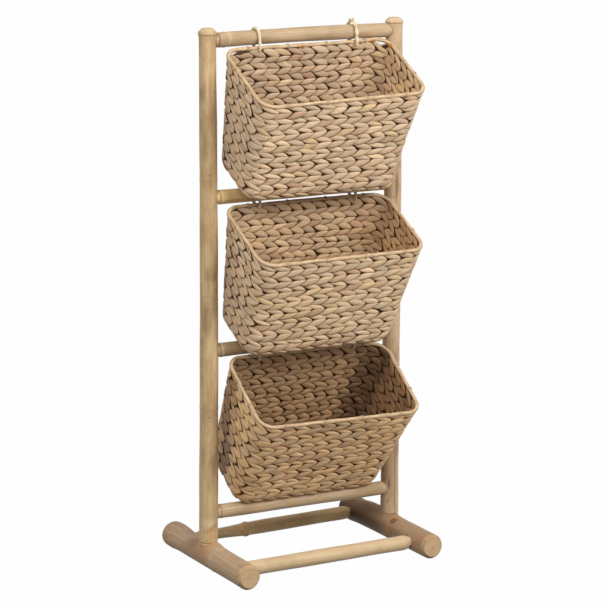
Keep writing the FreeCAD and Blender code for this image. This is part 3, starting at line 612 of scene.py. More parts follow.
# %% Feet and posts
faces_made = 0
for side, name, skin, seed in ((-1, "left", "post", 11), (1, "right", "pink_post", 12)):
    ring_place = to_post - FOOT_RINGS[name]
    foot_nodes = ((ring_place, 0.4, 3.2), (ring_place + 4.2, -0.5, 1.6), (foot_length - 20, 1.4, 18))
    faces_made += make_pole(
        f"{name}_foot", (side * post_x, foot_low[1], foot_level + FOOT_RAISED), (0, 1, 0), foot_length,
        (foot_radius - FOOT_SLIMMER, foot_radius - FOOT_SLIMMER), SKINS["foot"], seed, foot_nodes,
        FOOT_MARKS[name], FOOT_BEVELS, cracks=FOOT_CRACKS, seats=FOOT_SEATS[name])
    above, cap, bowed = POST_CAPS[name]
    full_height = post_height + above
    collar = ((9.8, -0.9, 1.3), (full_height - cap + 3, 1.3, 4.5), (full_height - cap, -0.5, 1.1))
    marks = freckles(post_height, np.random.default_rng(seed)) + POST_MARKS[name]
    faces_made += make_pole(
        f"{name}_post", (side * post_x, stand_plane, POST_START), (0, 0, 1), full_height, POST_RADII[name],
        SKINS[skin], seed + 10, POST_NODES[name] + collar, marks, POST_BEVELS, bowed, 0.0, POST_LEAN * side,
        cracks=POST_CRACKS[name])
print("feet and posts,", faces_made, "faces on their skins")

# %% Rails and stretchers
FIRST_RAIL_SEED, POST_AT_RAILS = 31, (15.0, 14.6)
# For each pole: its skin, nodes, marks, and how far its left end, right end and middle lie off level.
CROSS_POLES = {
    "top_rail": (
        "rail", ((17.5, -0.8, 1.4), (28.5, 0.5, 3.4), (33.0, -0.3, 1.4)),
        [(BROWN, 0.07, 175, 400), (BROWN, 0.7, 17.0, 1.8), (RUST, 0.20, 22.5, 4.6), (CHALK, 0.25, 36, 4)],
        (-1.3, 0.0, 1.4)),
    "upper_rail": (
        "warm", ((18.5, -1.0, 1.3), (22.5, 0.3, 2.4), (193, 0.3, 2.4)),
        [(BROWN, 0.5, 18.5, 1.2), (CHALK, 0.25, 22.0, 2)], (0.0, 0.0, 0.0)),
    "lower_rail": (
        "rail", ((18.5, -1.0, 1.3), (22.5, 0.3, 2.4), (246, 0.3, 2.4)),
        [(BROWN, 0.5, 18.5, 1.2), (CHALK, 0.25, 22.0, 2)], (0.0, 0.0, 0.0)),
    "bottom_rail": (
        "rail", ((18.2, -0.9, 1.2), (21.5, 0.3, 2.4), (154, 0.3, 2.4)),
        [(BROWN, 0.5, 18.2, 1.1), (AMBER_STAIN, 0.3, 154, 9)], (1.5, -1.5, 0.0)),
    "front_stretcher": (
        "pale", ((211, 0.2, 2.6), (333, -4.5, 8.0)), [(AMBER_STAIN, 0.2, 211, 2.5)], (0.0, 0.0, 0.0)),
    "rear_stretcher": (
        "olive", ((14, -4.0, 15.0), (66, -2.5, 46.0), (122, 1.9, 5.0), (128, -0.5, 1.4), (333, -4.5, 8.0)),
        [(AMBER_STAIN, 0.45, 122, 6), (CHALK, 0.25, 131, 3)], (-2.5, 0.0, 0.0)),
}
for index, (name, (skin, nodes, marks, (left_off, right_off, arch))) in enumerate(CROSS_POLES.items()):
    low, high = pole_box(name)
    middle, radius = (low + high) / 2, (high[2] - low[2]) / 2 - NODE_RISE
    first = np.array([-post_x, middle[1], middle[2] + left_off])
    last = np.array([post_x, middle[1], middle[2] + right_off])
    length = np.linalg.norm(last - first)
    faces_made += make_pole(
        name, first, (last - first) / length, length, (radius, radius), SKINS[skin], FIRST_RAIL_SEED + index,
        nodes, marks, bow=arch, bend=0.0, enters=POST_AT_RAILS if "rail" in name else ())
print("ten poles,", faces_made, "faces on their skins")

# %% [markdown]
# ## The baskets' shape
# Each basket is a tub with a rounded rectangular mouth, walls that lean in towards the base and
# a soft lower edge. Everything woven lies on this one surface, so it is written once: a share of
# the way round and a drop from the rim give a point on the outer or the inner face.

# %% Basket surface
RIM_WIDTH, RIM_DEPTH, RIM_BEND, RIM_RADIUS = 303.0, 153.0, 25.0, 3.0
# Half width, rear, front and corner bend of the mouth and of the base.
MOUTH, BASE = (154.5, 3.0, -156.0, 28.0), (140.0, -38.5, -160.5, 30.0)
BASKET_HEIGHT, BASE_EDGE, WALL, LEAST_BEND, PROBE = 200.0, 18.0, 8.0, 0.1, 0.5
HEADINGS = np.array([(1.0, 0.0), (0.0, 1.0), (-1.0, 0.0), (0.0, -1.0)])


def rounded_outline(share, half, rear, front, bend):
    """Walk round a rectangle with round corners, from the left end of its front side, anticlockwise.
    A side adds heading * clip(s - start, 0, length). A corner adds bend * (sin t, 1 - cos t) along
    its heading and the next one."""
    long_side = np.maximum(2 * (half - bend), 0.0)
    short_side = np.maximum(rear - front - 2 * bend, 0.0)
    perimeter = 2 * (long_side + short_side) + 2 * np.pi * bend
    walked = np.mod(share, 1.0) * perimeter
    place = [-(half - bend) + 0 * walked, front + 0 * walked]
    start = 0.0
    for index, length in enumerate((long_side, short_side, long_side, short_side)):
        ahead, beside = HEADINGS[index], HEADINGS[(index + 1) % 4]
        run = np.clip(walked - start, 0.0, length)
        start = start + length
        turn = np.clip((walked - start) / bend, 0.0, np.pi / 2)
        start = start + bend * np.pi / 2
        for axis in (0, 1):
            forth = (run + bend * np.sin(turn)) * ahead[axis]
            place[axis] = place[axis] + forth + bend * (1 - np.cos(turn)) * beside[axis]
    return place[0], place[1], perimeter


def wall_point(share, drop, inner):
    """Point of the tub's skin: the outline shrinks from mouth to base in proportion to depth, follows
    a quarter circle at the lower edge, then draws in towards the middle of the base."""
    thick = WALL * inner
    depth, edge = BASKET_HEIGHT - thick, BASE_EDGE - thick
    straight = depth - edge
    turn = np.clip((drop - straight) / edge, 0.0, np.pi / 2)
    level = np.minimum(drop, straight) + edge * np.sin(turn)
    inset = thick + edge * (1 - np.cos(turn)) + np.maximum(drop - straight - edge * np.pi / 2, 0.0)
    part = level / depth
    half, rear, front, bend = (mouth + (base - mouth) * part for mouth, base in zip(MOUTH, BASE))
    bend = np.maximum(bend - inset, LEAST_BEND)
    x, y, perimeter = rounded_outline(share, half - inset, rear - inset, front + inset, bend)
    return np.stack([x, y, -level], -1), perimeter


def wall_frame(share, drop, inner):
    """A skin point and its unit normal, from central differences along the two parameters."""
    point, perimeter = wall_point(share, drop, inner)
    nudge = PROBE / perimeter
    along = wall_point(share + nudge, drop, inner)[0] - wall_point(share - nudge, drop, inner)[0]
    down = wall_point(share, drop + PROBE, inner)[0] - wall_point(share, drop - PROBE, inner)[0]
    return point, unit(np.cross(along, down) if inner else np.cross(down, along))


def skin_reach(inner):
    """Length of the way down the skin, from the rim to the middle of the base."""
    edge = BASE_EDGE - WALL * inner
    half_base = (BASE[1] - BASE[2]) / 2 - WALL * inner
    return BASKET_HEIGHT - WALL * inner - edge + edge * np.pi / 2 + half_base - edge


print("way down the outer skin", round(skin_reach(0)), "mm, inner", round(skin_reach(1)), "mm")

# %% [markdown]
# ## Hanging a basket in its place
# A basket is worked out upright, with the middle of its rim's back strand at the origin. The
# frame's hinge gives that place, and the tilt is the one the solid has. Handwork leaves the rims
# a little out of true, so the corners are pushed a few millimetres, fading to the base.

# %% Basket placement
TIERS = ("top", "middle", "bottom")
TILTS = {"top": 28.4, "middle": 27.8, "bottom": 38.5}
HINGES = {joint["name"]: np.array(joint["pos_m"]) / MM
          for joint in frame["joints"] if joint["type"] == "hinge"}
# How deep each basket is against the drawn one, and how far its back left, front left, front right
# and back right corners lie from true, in the basket's own X, Y and Z.
DEPTH_SCALES = {"top": 0.98, "middle": 0.99, "bottom": 1.015}
CORNER_PUSHES = {
    "top": ((-3.0, 0.0, -2.0), (0.0, 0.0, -8.0), (-1.0, 0.0, 1.0), (0.0, 4.0, 3.0)),
    "middle": ((-3.0, 0.0, -1.0), (-2.0, 0.0, -5.0), (0.0, 0.0, -3.0), (0.0, 0.0, -2.0)),
    "bottom": ((0.0, 0.0, 5.0), (1.0, 0.0, 9.0), (6.0, 0.0, -4.0), (5.0, 0.0, -6.5)),
}
# The same for the front left and front right corners of the base.
BASE_PUSHES = {
    "top": ((0.0, 0.0, 0.0), (6.0, 0.0, -5.0)),
    "middle": ((0.0, 0.0, 0.0), (0.0, 0.0, 0.0)),
    "bottom": ((7.0, 0.0, 2.5), (10.0, 0.0, -3.5)),
}
FORWARD_POWER, BACK_POWER, BASE_POWER, MOST_FADE = 1.5, 6, 8, 1.05


def hang(points, tier):
    """Scale the depth, push each corner by its weight, fading to the base, turn by the tilt and move to
    the hinge. Front weights are (1 -+ x) / 2 * forward, back weights ((1 -+ x) / 2)^6 * (1 - forward),
    and those of the base ((1 -+ x) / 2)^8 * forward * depth^2."""
    points = points * (1, 1, DEPTH_SCALES[tier])
    side = np.clip(points[:, :1] / (RIM_WIDTH / 2), -1, 1)
    forward = np.clip(-points[:, 1:2] / RIM_DEPTH, 0, 1) ** FORWARD_POWER
    fade = np.clip(1 + points[:, 2:3] / BASKET_HEIGHT, 0, MOST_FADE)
    halves = ((1 - side) / 2, (1 + side) / 2)
    back_left, back_right = (part ** BACK_POWER * (1 - forward) for part in halves)
    weights = (back_left, halves[0] * forward, halves[1] * forward, back_right)
    pushes, base_pushes = np.array(CORNER_PUSHES[tier]), np.array(BASE_PUSHES[tier])
    moved = points + fade * sum(weight * push for weight, push in zip(weights, pushes))
    low = np.clip(-points[:, 2:3] / BASKET_HEIGHT, 0, 1) ** 2 * forward
    moved = moved + low * sum(part ** BASE_POWER * push for part, push in zip(halves, base_pushes))
    tilt = math.radians(TILTS[tier])
    x, y, z = moved.T
    turned_y, turned_z = y * math.cos(tilt) - z * math.sin(tilt), y * math.sin(tilt) + z * math.cos(tilt)
    return np.stack([x, turned_y, turned_z], -1) + HINGES[tier + "_swing"]


print({tier: HINGES[tier + "_swing"].round(1).tolist() for tier in TIERS})

# %% [markdown]
# ## Braided leaf
# The walls are stacked braids of dried leaf. Each braid shows two rows of plump leaf pieces that
# meet in arrow heads along its middle, pointing round the basket one way outside and the other
# way inside. One leaf is a small closed lens. It is copied by arrays to every place in every
# braid, bent onto the tub's skin, with its tip lifted over the next leaf and its tail tucked in.

# %% One leaf
LEAF_HALF_LENGTH = 17.5
# Along the leaf, from tail to tip: half width, height of the crown and height of the two edges.
LEAF_STATIONS = np.array([-0.85, -0.50, -0.12, 0.26, 0.58, 0.83])
LEAF_WIDTHS = np.array([3.4, 5.4, 6.3, 6.1, 4.5, 2.2])
LEAF_CROWNS = np.array([-2.5, -1.3, -0.3, 0.4, 0.5, 0.2])
LEAF_EDGES = np.array([-3.2, -2.5, -1.7, -1.2, -0.9, -0.8])
LEAF_ENDS = ((-1.0, 0.0, -3.2), (1.0, 0.0, -0.4))
LEAF_RING = np.radians([0, 28, 62, 118, 152, 180, 235, 305])
LEAF_FULLNESS, LEAF_BELLY = 0.8, 0.7


def leaf_shape():
    """Sections of the leaf: across = width * cos t, height = edge + (crown - edge) * (sin t) ^ fullness."""
    station, turn = np.meshgrid(LEAF_STATIONS, LEAF_RING, indexing="ij")
    swell = np.sign(np.sin(turn)) * np.abs(np.sin(turn)) ** LEAF_FULLNESS
    crown = np.where(swell > 0, (LEAF_CROWNS - LEAF_EDGES)[:, None], LEAF_BELLY)
    across, high = LEAF_WIDTHS[:, None] * np.cos(turn), LEAF_EDGES[:, None] + crown * swell
    lens = np.vstack([np.stack([station, across, high], -1).reshape(-1, 3), LEAF_ENDS])
    sides = np.append(np.cos(turn).ravel(), (0.0, 0.0))
    faces = [grid_quads(*station.shape), np.vstack(end_fans(len(lens), *station.shape))]
    return lens, turned_out(lens * (LEAF_HALF_LENGTH, 1, 1), faces), sides


leaf_points, leaf_faces, leaf_sides = leaf_shape()
print("one leaf:", len(leaf_points), "points,", sum(len(group) for group in leaf_faces), "faces")

# %% Places round the baskets
# Where the weave sags from the rim: share of the way round, depth and half width of the gap.
RIM_GAPS = {"top": ((0.480, 9.0, 9.5), (0.80, 8.0, 11.0)), "middle": (), "bottom": ()}
SAG_FADE = 22.0
# Middle and half width, as shares of the way round, of the right wall, the rear right corner and the
# rear left one, which gets painted shade, with how much wider the painted hollow shadows are there and how
# far that corner slants forward per millimetre down.
RIGHT_WALL, REAR_RIGHT = (0.39, 0.075), (0.490, 0.042)
REAR_LEFT_SHADE = {"top": (0.805, 0.032, 1.2, 0.0), "middle": (0.805, 0.032, 1.2, 0.0),
             "bottom": (0.836, 0.020, 2.4, 0.0003)}


def sagging(shares, drops, perimeter, gaps):
    """Depth * exp(-(distance round / half)^2) * exp(-drop / fade) at each gap, so lower rows stay put."""
    total = np.zeros_like(shares + drops)
    for place, deep, half in gaps:
        away = (np.mod(shares - place + 0.5, 1.0) - 0.5) * perimeter / half
        total = total + deep * np.exp(-away ** 2 - drops / SAG_FADE)
    return total


def near(shares, stretch):
    """Share of a stretch of wall: 1 inside it and falling to 0 outside, exp(-(distance / half)^4)."""
    return np.exp(-((np.mod(shares, 1.0) - stretch[0]) / stretch[1]) ** 4)


# Number of braids, and the distance from leaf to leaf on the outer and the inner skin.
BRAIDS, LEAF_STEPS = 11, (25.6, 22.8)
FIRST_BRAID_DROP, LEAST_LEAVES, FULL_QUARTER = 2.5, 6, 5.72
SHARE_SPREAD, DROP_SPREAD = 0.035, 0.35


def leaf_places(inner, rng):
    """One line per leaf: share round, drop of its braid's middle, side of that, a quarter of the pitch."""
    pitch = (skin_reach(inner) - FIRST_BRAID_DROP) / BRAIDS
    lines = []
    for braid in range(BRAIDS):
        middle = FIRST_BRAID_DROP + (braid + 0.5) * pitch
        perimeter = float(wall_point(np.array([0.0]), np.array([middle]), inner)[1][0])
        count = max(int(round(perimeter / LEAF_STEPS[inner])), LEAST_LEAVES)
        first = rng.uniform(0, 1)
        share = (np.arange(count) + first + rng.normal(0, SHARE_SPREAD, count)) / count
        for half in (-1, 1):
            drop = np.full(count, middle) + rng.normal(0, DROP_SPREAD, count)
            lines.append(np.column_stack([share, drop, np.full(count, half), np.full(count, pitch / 4)]))
    return np.vstack(lines)


print(BRAIDS, "braids on each skin")

# %% Leaves on one skin
# How much wider the lower row of each braid is outside, and how much wider the painted shadow in the
# hollows between the leaves is, outside and inside.
LOWER_ROWS = {"top": 0.17, "middle": 0.17, "bottom": 0.27}
PAINTED_HOLLOW_SHADOWS = {"top": (0.4, 1.3), "middle": (0.4, 1.3), "bottom": (0.8, 2.6)}
# A leaf's line: its distance from the braid's middle halfway along, its fall to the tip and its curve.
LINE_START, LINE_FALL, LINE_CURVE = 6.4, 4.3, 1.4
# How leaves differ in length, width, direction, height and lift of the tip.
STRETCH_SPREAD, WIDEN_SPREAD, SWING_SPREAD, HEIGHT_SPREAD, TIP_SPREAD = 0.06, 0.08, 0.35, 0.30, 0.25
# A wide lower row shifts up and has a wider painted hollow shadow. The short walls are pressed flatter and
# get less painted shadow.
LOWER_SHIFT, LOWER_HOLLOW_SHADOW, SIDE_PRESS, SIDE_SINK, SIDE_CLEAR = 11.4, 7.0, 0.45, 0.5, 1.8
# The edge of the leaf before, along which the painted shadow lies: how far it reaches out, and how it runs
# back.
EDGE_REACH, EDGE_SLOPE, EDGE_CURVE = 13, 0.55, 0.055
FIRST_DROP, LAST_GAP, GRAIN_RANGE = 0.4, 0.7, 50


def weave_skin(inner, rng, tier):
    """Bend every leaf onto the skin: leaf coordinates (along, across, high) become share, drop and normal.
    A leaf's line starts far from its braid's middle and curves in to it: d = start - fall * s - curve * s^2.
    How far a point lies clear of the leaf before, whose edge runs back by slope * d + curve * d^2, is kept
    for the painted shadow in the hollow beside that edge. The short walls are those whose normal points along
    X."""
    corner = REAR_LEFT_SHADE[tier]
    lower, slant = (0.0, 0.0) if inner else (LOWER_ROWS[tier], corner[3])
    places = leaf_places(inner, rng)
    count = len(places)
    share, drop, half, quarter = (places[:, index][:, None] for index in range(4))
    s, a, h = (leaf_points[:, index][None, :] for index in range(3))
    stretch, widen = (rng.normal(1.0, spread, (count, 1)) for spread in (STRETCH_SPREAD, WIDEN_SPREAD))
    swing = rng.normal(0, SWING_SPREAD, (count, 1))
    line = LINE_START - (LINE_FALL + swing) * s - LINE_CURVE * s ** 2
    skew = a * (LINE_FALL + 2 * LINE_CURVE * s) / LEAF_HALF_LENGTH * half
    ahead = s * LEAF_HALF_LENGTH * stretch * LEAF_STEPS[inner] / LEAF_STEPS[0] + skew
    down = ((half * line + a * widen) * (1 + lower * half) - LOWER_SHIFT * lower) * quarter / FULL_QUARTER
    high = h + rng.normal(0, HEIGHT_SPREAD, (count, 1)) + rng.normal(0, TIP_SPREAD, (count, 1)) * s
    way = -1.0 if inner else 1.0
    perimeter = wall_point(share[:, 0], drop[:, 0], inner)[1][:, None]
    shares = share + way * ahead / perimeter
    drops = np.clip(drop + down, FIRST_DROP, skin_reach(inner) - LAST_GAP)
    drops = drops + sagging(shares, drops, perimeter, RIM_GAPS[tier])
    point, normal = wall_frame(shares, drops, inner)
    sideways = normal[..., 0] ** 2
    high = high * (1 - SIDE_PRESS * sideways) - SIDE_SINK * sideways
    grain = np.stack(np.broadcast_arrays(s, leaf_sides[None, :], rng.uniform(0, GRAIN_RANGE, (count, 1))), -1)
    outward = np.clip(line + half * a * widen, 0, EDGE_REACH)
    clear = ahead - LEAF_HALF_LENGTH * LEAF_STEPS[inner] / LEAF_STEPS[0] + LEAF_STEPS[inner]
    clear = clear + EDGE_SLOPE * outward + EDGE_CURVE * outward ** 2
    clear = clear - LOWER_HOLLOW_SHADOW * lower * (half > 0) + SIDE_CLEAR * sideways - PAINTED_HOLLOW_SHADOWS[tier][inner]
    clear = clear - corner[2] * near(shares - slant * drops, corner) * (not inner)
    return point + normal * high[..., None], grain, clear, (share - slant * drop)[:, 0]


print("leaf layout ready")

# %% Leaf colours and materials
# Dry leaf runs from straw through grey beige and tan to a pinkish brown.
LEAF_COLOURS = np.array([paint(*colour) for colour in (
    (230, 204, 168), (224, 198, 163), (216, 193, 162), (224, 196, 154), (213, 182, 148), (216, 187, 158),
    (206, 170, 138))])
LEAF_COLOUR_SHARES = np.array([0.30, 0.29, 0.19, 0.10, 0.08, 0.03, 0.01])
TINT_SPREAD = 0.08


def leaf_tints(count, rng):
    """One colour per leaf, drawn from the mixture and scaled a little lighter or darker."""
    picked = LEAF_COLOURS[rng.choice(len(LEAF_COLOURS), count, p=LEAF_COLOUR_SHARES)]
    tint = picked * rng.normal(1.0, TINT_SPREAD, (count, 1))
    tint[:, 3] = 1.0
    return np.clip(tint, 0, 1)


def leaf_material():
    """Each leaf's own colour, streaked along it, browner at the edges as its own colour and darker still at
    the lower edge as painted shade from above, with painted shadow in the hollow beside the leaf before."""
    graph = Graph("dried_leaf")
    tint = graph.attribute("leaf_tint", "Color")
    grain = graph.attribute("leaf_grain")
    split = graph.add("ShaderNodeSeparateXYZ", {"Vector": grain})
    fibre = graph.noise(grain, (1.1, 6.0, 1.0), 4.0, 0.6)
    patch = graph.noise(grain, (1.3, 0.9, 1.0), 2.0)
    shade = graph.ramp(fibre, (0.28, (0.70, 0.64, 0.58, 1)), (0.60, WHITE))
    tone = graph.mix(1.0, tint, shade, "MULTIPLY")
    tone = graph.mix(graph.share(patch, 0.56, 0.76, 0.42), tone, paint(184, 138, 108))
    # Both edges are browner as the leaf's own colour, and the lower edge is darker still as painted shade
    # from above.
    across = graph.sums("MULTIPLY_ADD", split.outputs["Y"], 0.5, 0.5)
    edge = graph.ramp(across, (0.01, (0.60, 0.48, 0.36, 1)), (0.14, WHITE), (0.60, WHITE),
                      (0.98, (0.46, 0.35, 0.25, 1)))
    tone = graph.mix(1.0, tone, edge, "MULTIPLY")
    # Painted shadow in the hollow beside the edge of the leaf before.
    clear = graph.sums("MULTIPLY", graph.attribute("leaf_shadow_clearance", "Fac"), 0.1)
    painted_hollow_shadow = graph.ramp(clear, (0.03, (0.16, 0.10, 0.06, 1)), (0.14, (0.42, 0.33, 0.25, 1)),
                        (0.32, (0.90, 0.87, 0.84, 1)), (0.5, WHITE))
    tone = graph.mix(1.0, tone, painted_hollow_shadow, "MULTIPLY")
    return graph.finish(Base_Color=tone, Roughness=0.6, Normal=graph.bump(fibre, 0.0006, 0.5))


def shade_material():
    graph = Graph("weave_shadow")
    mottle = graph.noise(graph.object_place(), (120, 120, 120), 3.0)
    tone = graph.ramp(mottle, (0.3, paint(46, 30, 16)), (0.7, paint(84, 58, 36)))
    return graph.finish(Base_Color=tone, Roughness=0.9)


LEAF, WEAVE_SHADOW = leaf_material(), shade_material()
print("leaf materials ready")

# %% [markdown]
# Behind the leaves lies a thin dark core, so no light comes through the small gaps between them.
# It is the same skin, drawn twice inside the wall and closed at the top edge.

# %% Weave each basket
CORE_DEPTH, CORE_AROUND, CORE_ROWS, CORE_TOP, CORE_LAST = 3.85, 160, 26, 3.0, 24
CORE_MIDDLE = np.array([18.0, 12.0, 7.0, 3.0])
FIRST_WEAVE_SEED = 70
# Tones that multiply the leaf's colour. Outside: everywhere, then the rear left corner, darkened as painted
# shade. Inside, painted shade, darkest in the lowest basket: everywhere, then the right wall, with painted
# light in the top basket and painted shade in the lowest, then the rear right corner in shade.
OUTSIDE_TONES = {"top": (1, 0.98, 0.98, 1), "middle": (1, 0.97, 0.94, 1), "bottom": (1.08, 0.96, 0.78, 1)}
REAR_LEFT_SHADE_TONES = {"top": (0.72, 0.66, 0.6, 1), "middle": (0.72, 0.66, 0.6, 1), "bottom": (0.4, 0.35, 0.32, 1)}
INSIDE_SHADE_TONES = {"top": (0.75, 0.72, 0.72, 1), "middle": (0.82, 0.77, 0.72, 1),
                "bottom": (0.67, 0.58, 0.48, 1)}
RIGHT_WALL_LIGHT_AND_SHADE = {"top": (1.40, 1.34, 1.18, 1), "middle": (1.0, 0.92, 0.78, 1), "bottom": (0.72, 0.64, 0.58, 1)}
SHADE_TONES = {"top": (1, 1, 1, 1), "middle": (0.84, 0.80, 0.76, 1), "bottom": (0.36, 0.31, 0.28, 1)}


def core_shell(gaps):
    """A closed sheet inside the wall: down the outer skin moved in, back up the inner skin moved out."""
    share = np.arange(CORE_AROUND) / CORE_AROUND
    layers = []
    for inner in (0, 1):
        reach = skin_reach(inner)
        drops = np.concatenate([np.linspace(CORE_TOP, reach - CORE_LAST, CORE_ROWS), reach - CORE_MIDDLE])
        around, drop = np.meshgrid(share, drops)
        perimeter = wall_point(around, drop, inner)[1]
        point, normal = wall_frame(around, drop + sagging(around, drop, perimeter, gaps), inner)
        layers.append(point - normal * CORE_DEPTH)
    rows = np.vstack([layers[0][::-1], layers[1]])
    points = with_middles(rows)
    faces = [grid_quads(len(rows), CORE_AROUND), *end_fans(len(points), len(rows), CORE_AROUND)]
    return points, turned_out(points, faces)


def toned(share, tone):
    """1 where the share is 0, and the tone where it is 1."""
    return 1 + share[:, None] * (np.array(tone) - 1)


for seed, tier in enumerate(TIERS):
    rng = np.random.default_rng(FIRST_WEAVE_SEED + seed)
    (outer, outer_grain, outer_clear, outer_share), (inner, inner_grain, inner_clear, inner_share) = (
        weave_skin(face, rng, tier) for face in (0, 1))
    core_points, core_faces = core_shell(RIM_GAPS[tier])
    outside, count = len(outer), len(outer) + len(inner)
    tint = leaf_tints(count, rng)
    tint[:outside] *= OUTSIDE_TONES[tier] * toned(near(outer_share, REAR_LEFT_SHADE[tier]), REAR_LEFT_SHADE_TONES[tier])
    tint[outside:] *= INSIDE_SHADE_TONES[tier] * toned(near(inner_share, RIGHT_WALL), RIGHT_WALL_LIGHT_AND_SHADE[tier])
    tint[outside:] *= toned(near(inner_share, REAR_RIGHT), SHADE_TONES[tier])
    step = (np.arange(count) * len(leaf_points))[:, None, None]
    faces = [(group[None] + step).reshape(-1, group.shape[1]) for group in leaf_faces]
    attributes = {"leaf_tint": np.repeat(tint, len(leaf_points), 0),
                  "leaf_grain": np.vstack([outer_grain, inner_grain]),
                  "leaf_shadow_clearance": np.vstack([outer_clear, inner_clear])}
    add_piece(f"{tier}_weave", hang(np.vstack([outer, inner]).reshape(-1, 3), tier), faces, f"{tier}_basket",
              [LEAF], [f"{tier}_basket_weave"], attributes)
    add_piece(f"{tier}_weave_core", hang(core_points, tier), core_faces, f"{tier}_basket", [WEAVE_SHADOW])
    print(tier, "basket:", count, "leaves")

# %% [markdown]
# ## Rims, lashings and loops
# A strand of leaf twisted round a cane closes each mouth. Thread sews it to the wall, amber where
# it shows at the back of the top basket. Two loops of pale cord go over the rail and under the
# rim's back strand. All of these are tubes: a small outline carried along a closed path.

# %% Cane, cord and thread materials
def strand_material(name, light, dark, gloss):
    """Pale fibre with streaks along the strand, read from the place along and round it."""
    graph = Graph(name)
    fibre = graph.noise(graph.attribute("strand"), (60, 420, 420), 4.0, 0.6)
    tone = graph.ramp(fibre, (0.32, dark), (0.62, light))
    return graph.finish(Base_Color=tone, Roughness=gloss, Normal=graph.bump(fibre, 0.0003, 0.4))


CANE = strand_material("rim_cane", paint(198, 169, 132), paint(154, 124, 91), 0.55)
CORD = strand_material("loop_cord", paint(224, 204, 172), paint(186, 160, 122), 0.8)
AMBER = strand_material("amber_thread", paint(206, 140, 52), paint(150, 92, 26), 0.35)
print("strand materials ready")

# %% Tube along a closed path
def ring_of(radius, turn):
    return np.stack([radius * np.cos(turn), radius * np.sin(turn)], -1)


def headings(path):
    """Unit vectors along a closed path, from the point before to the point after."""
    return unit(np.roll(path, -1, 0) - np.roll(path, 1, 0))


def closed_tube(path, first, second, outline):
    """Carry an outline of (first, second) offsets along a closed path. Each row of it is one place there."""
    grid = path[:, None] + outline[..., :1] * first[:, None] + outline[..., 1:] * second[:, None]
    rows, columns = grid.shape[:2]
    ring = np.arange(columns)
    last = (rows - 1) * columns
    seam = np.column_stack([last + ring, last + np.roll(ring, -1), np.roll(ring, -1), ring])
    points = grid.reshape(-1, 3)
    walked = np.cumsum(np.linalg.norm(path - np.roll(path, 1, 0), axis=1))
    strand = np.concatenate([np.broadcast_to(walked[:, None, None], (rows, columns, 1)), outline], -1)
    return points, turned_out(points, [grid_quads(rows, columns), seam]), strand.reshape(-1, 3) * MM


def joined(tubes):
    """Several tubes as one list of points, faces and strand places."""
    starts = np.cumsum([0] + [len(points) for points, _, _ in tubes])
    faces = [group + start for (_, groups, _), start in zip(tubes, starts) for group in groups]
    return np.vstack([tube[0] for tube in tubes]), faces, np.vstack([tube[2] for tube in tubes])


print("tube helpers ready")

# %% Rims
RIM_STEPS, RIM_ROUND, RIM_WRAP, FIRST_RIM_SEED = 420, 14, 46.0, 90
# How much plumper the rim is than its solid, the rise of the wrapped leaf, and a slow swell.
RIM_PLUMP, WRAP_RISE, RIM_SWELL, RIM_SWELL_LENGTH = 0.05, 0.42, 0.14, 23.0


def rim_tube(rng):
    """The hoop follows the rounded outline. Its radius swells along a slow spiral, as a wrapped leaf does."""
    share = np.arange(RIM_STEPS) / RIM_STEPS
    x, y, perimeter = rounded_outline(share, RIM_WIDTH / 2, 0.0, -RIM_DEPTH, RIM_BEND)
    path = np.stack([x, y, 0 * x], -1)
    ahead = headings(path)
    out = np.stack([ahead[:, 1], -ahead[:, 0], 0 * x], -1)
    walked = (share * perimeter)[:, None]
    turn = full_turn(RIM_ROUND)[None]
    wraps = round(float(np.max(perimeter)) / RIM_WRAP)
    spiral = np.mod(turn / (2 * np.pi) + share[:, None] * wraps, 1.0)
    swell = RIM_SWELL * np.sin(walked / RIM_SWELL_LENGTH + rng.uniform(0, 6))
    radius = RIM_RADIUS + RIM_PLUMP + WRAP_RISE * spiral ** 2 + swell
    return closed_tube(path, out, np.broadcast_to(UP, path.shape), ring_of(radius, turn))


for seed, tier in enumerate(TIERS):
    points, faces, strand = rim_tube(np.random.default_rng(FIRST_RIM_SEED + seed))
    add_piece(f"{tier}_rim", hang(points, tier), faces, f"{tier}_basket", [CANE], [f"{tier}_basket_rim"],
              {"strand": strand})
print("three rims")

# %% Lashings and amber stitches
# Lashings, and three amber stitches at the back of the top rim: (x, y, whether on a long side).
LASHINGS = [(RIM_WIDTH * share, y, True) for share in (-0.36, -0.12, 0.12, 0.36) for y in (0.0, -RIM_DEPTH)]
LASHINGS += [(RIM_WIDTH * half, -RIM_DEPTH * share, False) for share in (0.33, 0.67) for half in (-0.5, 0.5)]
AMBER_STITCHES = ((-9.0, 0.0, True), (124.0, 0.0, True), (150.5, -22.0, False))
LASHING_RADIUS, LASHING_DROP, AMBER_DROP = 3.9, 0.3, 1.5
THREAD_RADIUS, AMBER_RADIUS, THREAD_PITCH = 0.6, 1.0, 2.1
LASHING_TURNS, LASHING_STEPS, THREAD_ROUND = 3, 28, 6


def thread_ring(centre, along_x, thread):
    """Three turns of thread side by side: each a circle round the rim's strand, as a thin closed tube."""
    turn = full_turn(LASHING_STEPS)[:, None]
    outline = np.broadcast_to(ring_of(thread, full_turn(THREAD_ROUND)), (LASHING_STEPS, THREAD_ROUND, 2))
    axis, side = (RIGHT, REARWARD) if along_x else (REARWARD, RIGHT)
    radial = np.cos(turn) * side + np.sin(turn) * UP
    tubes = []
    for index in range(LASHING_TURNS):
        offset = (index - (LASHING_TURNS - 1) / 2) * THREAD_PITCH * thread * axis
        path = np.array(centre) + offset + LASHING_RADIUS * radial
        tubes.append(closed_tube(path, radial, np.broadcast_to(axis, radial.shape), outline))
    return tubes


def sewn(places, drop, thread):
    """Thread rings at all the places, a drop below the middle of the rim's strand."""
    return joined([tube for x, y, on_long in places for tube in thread_ring((x, y, -drop), on_long, thread)])


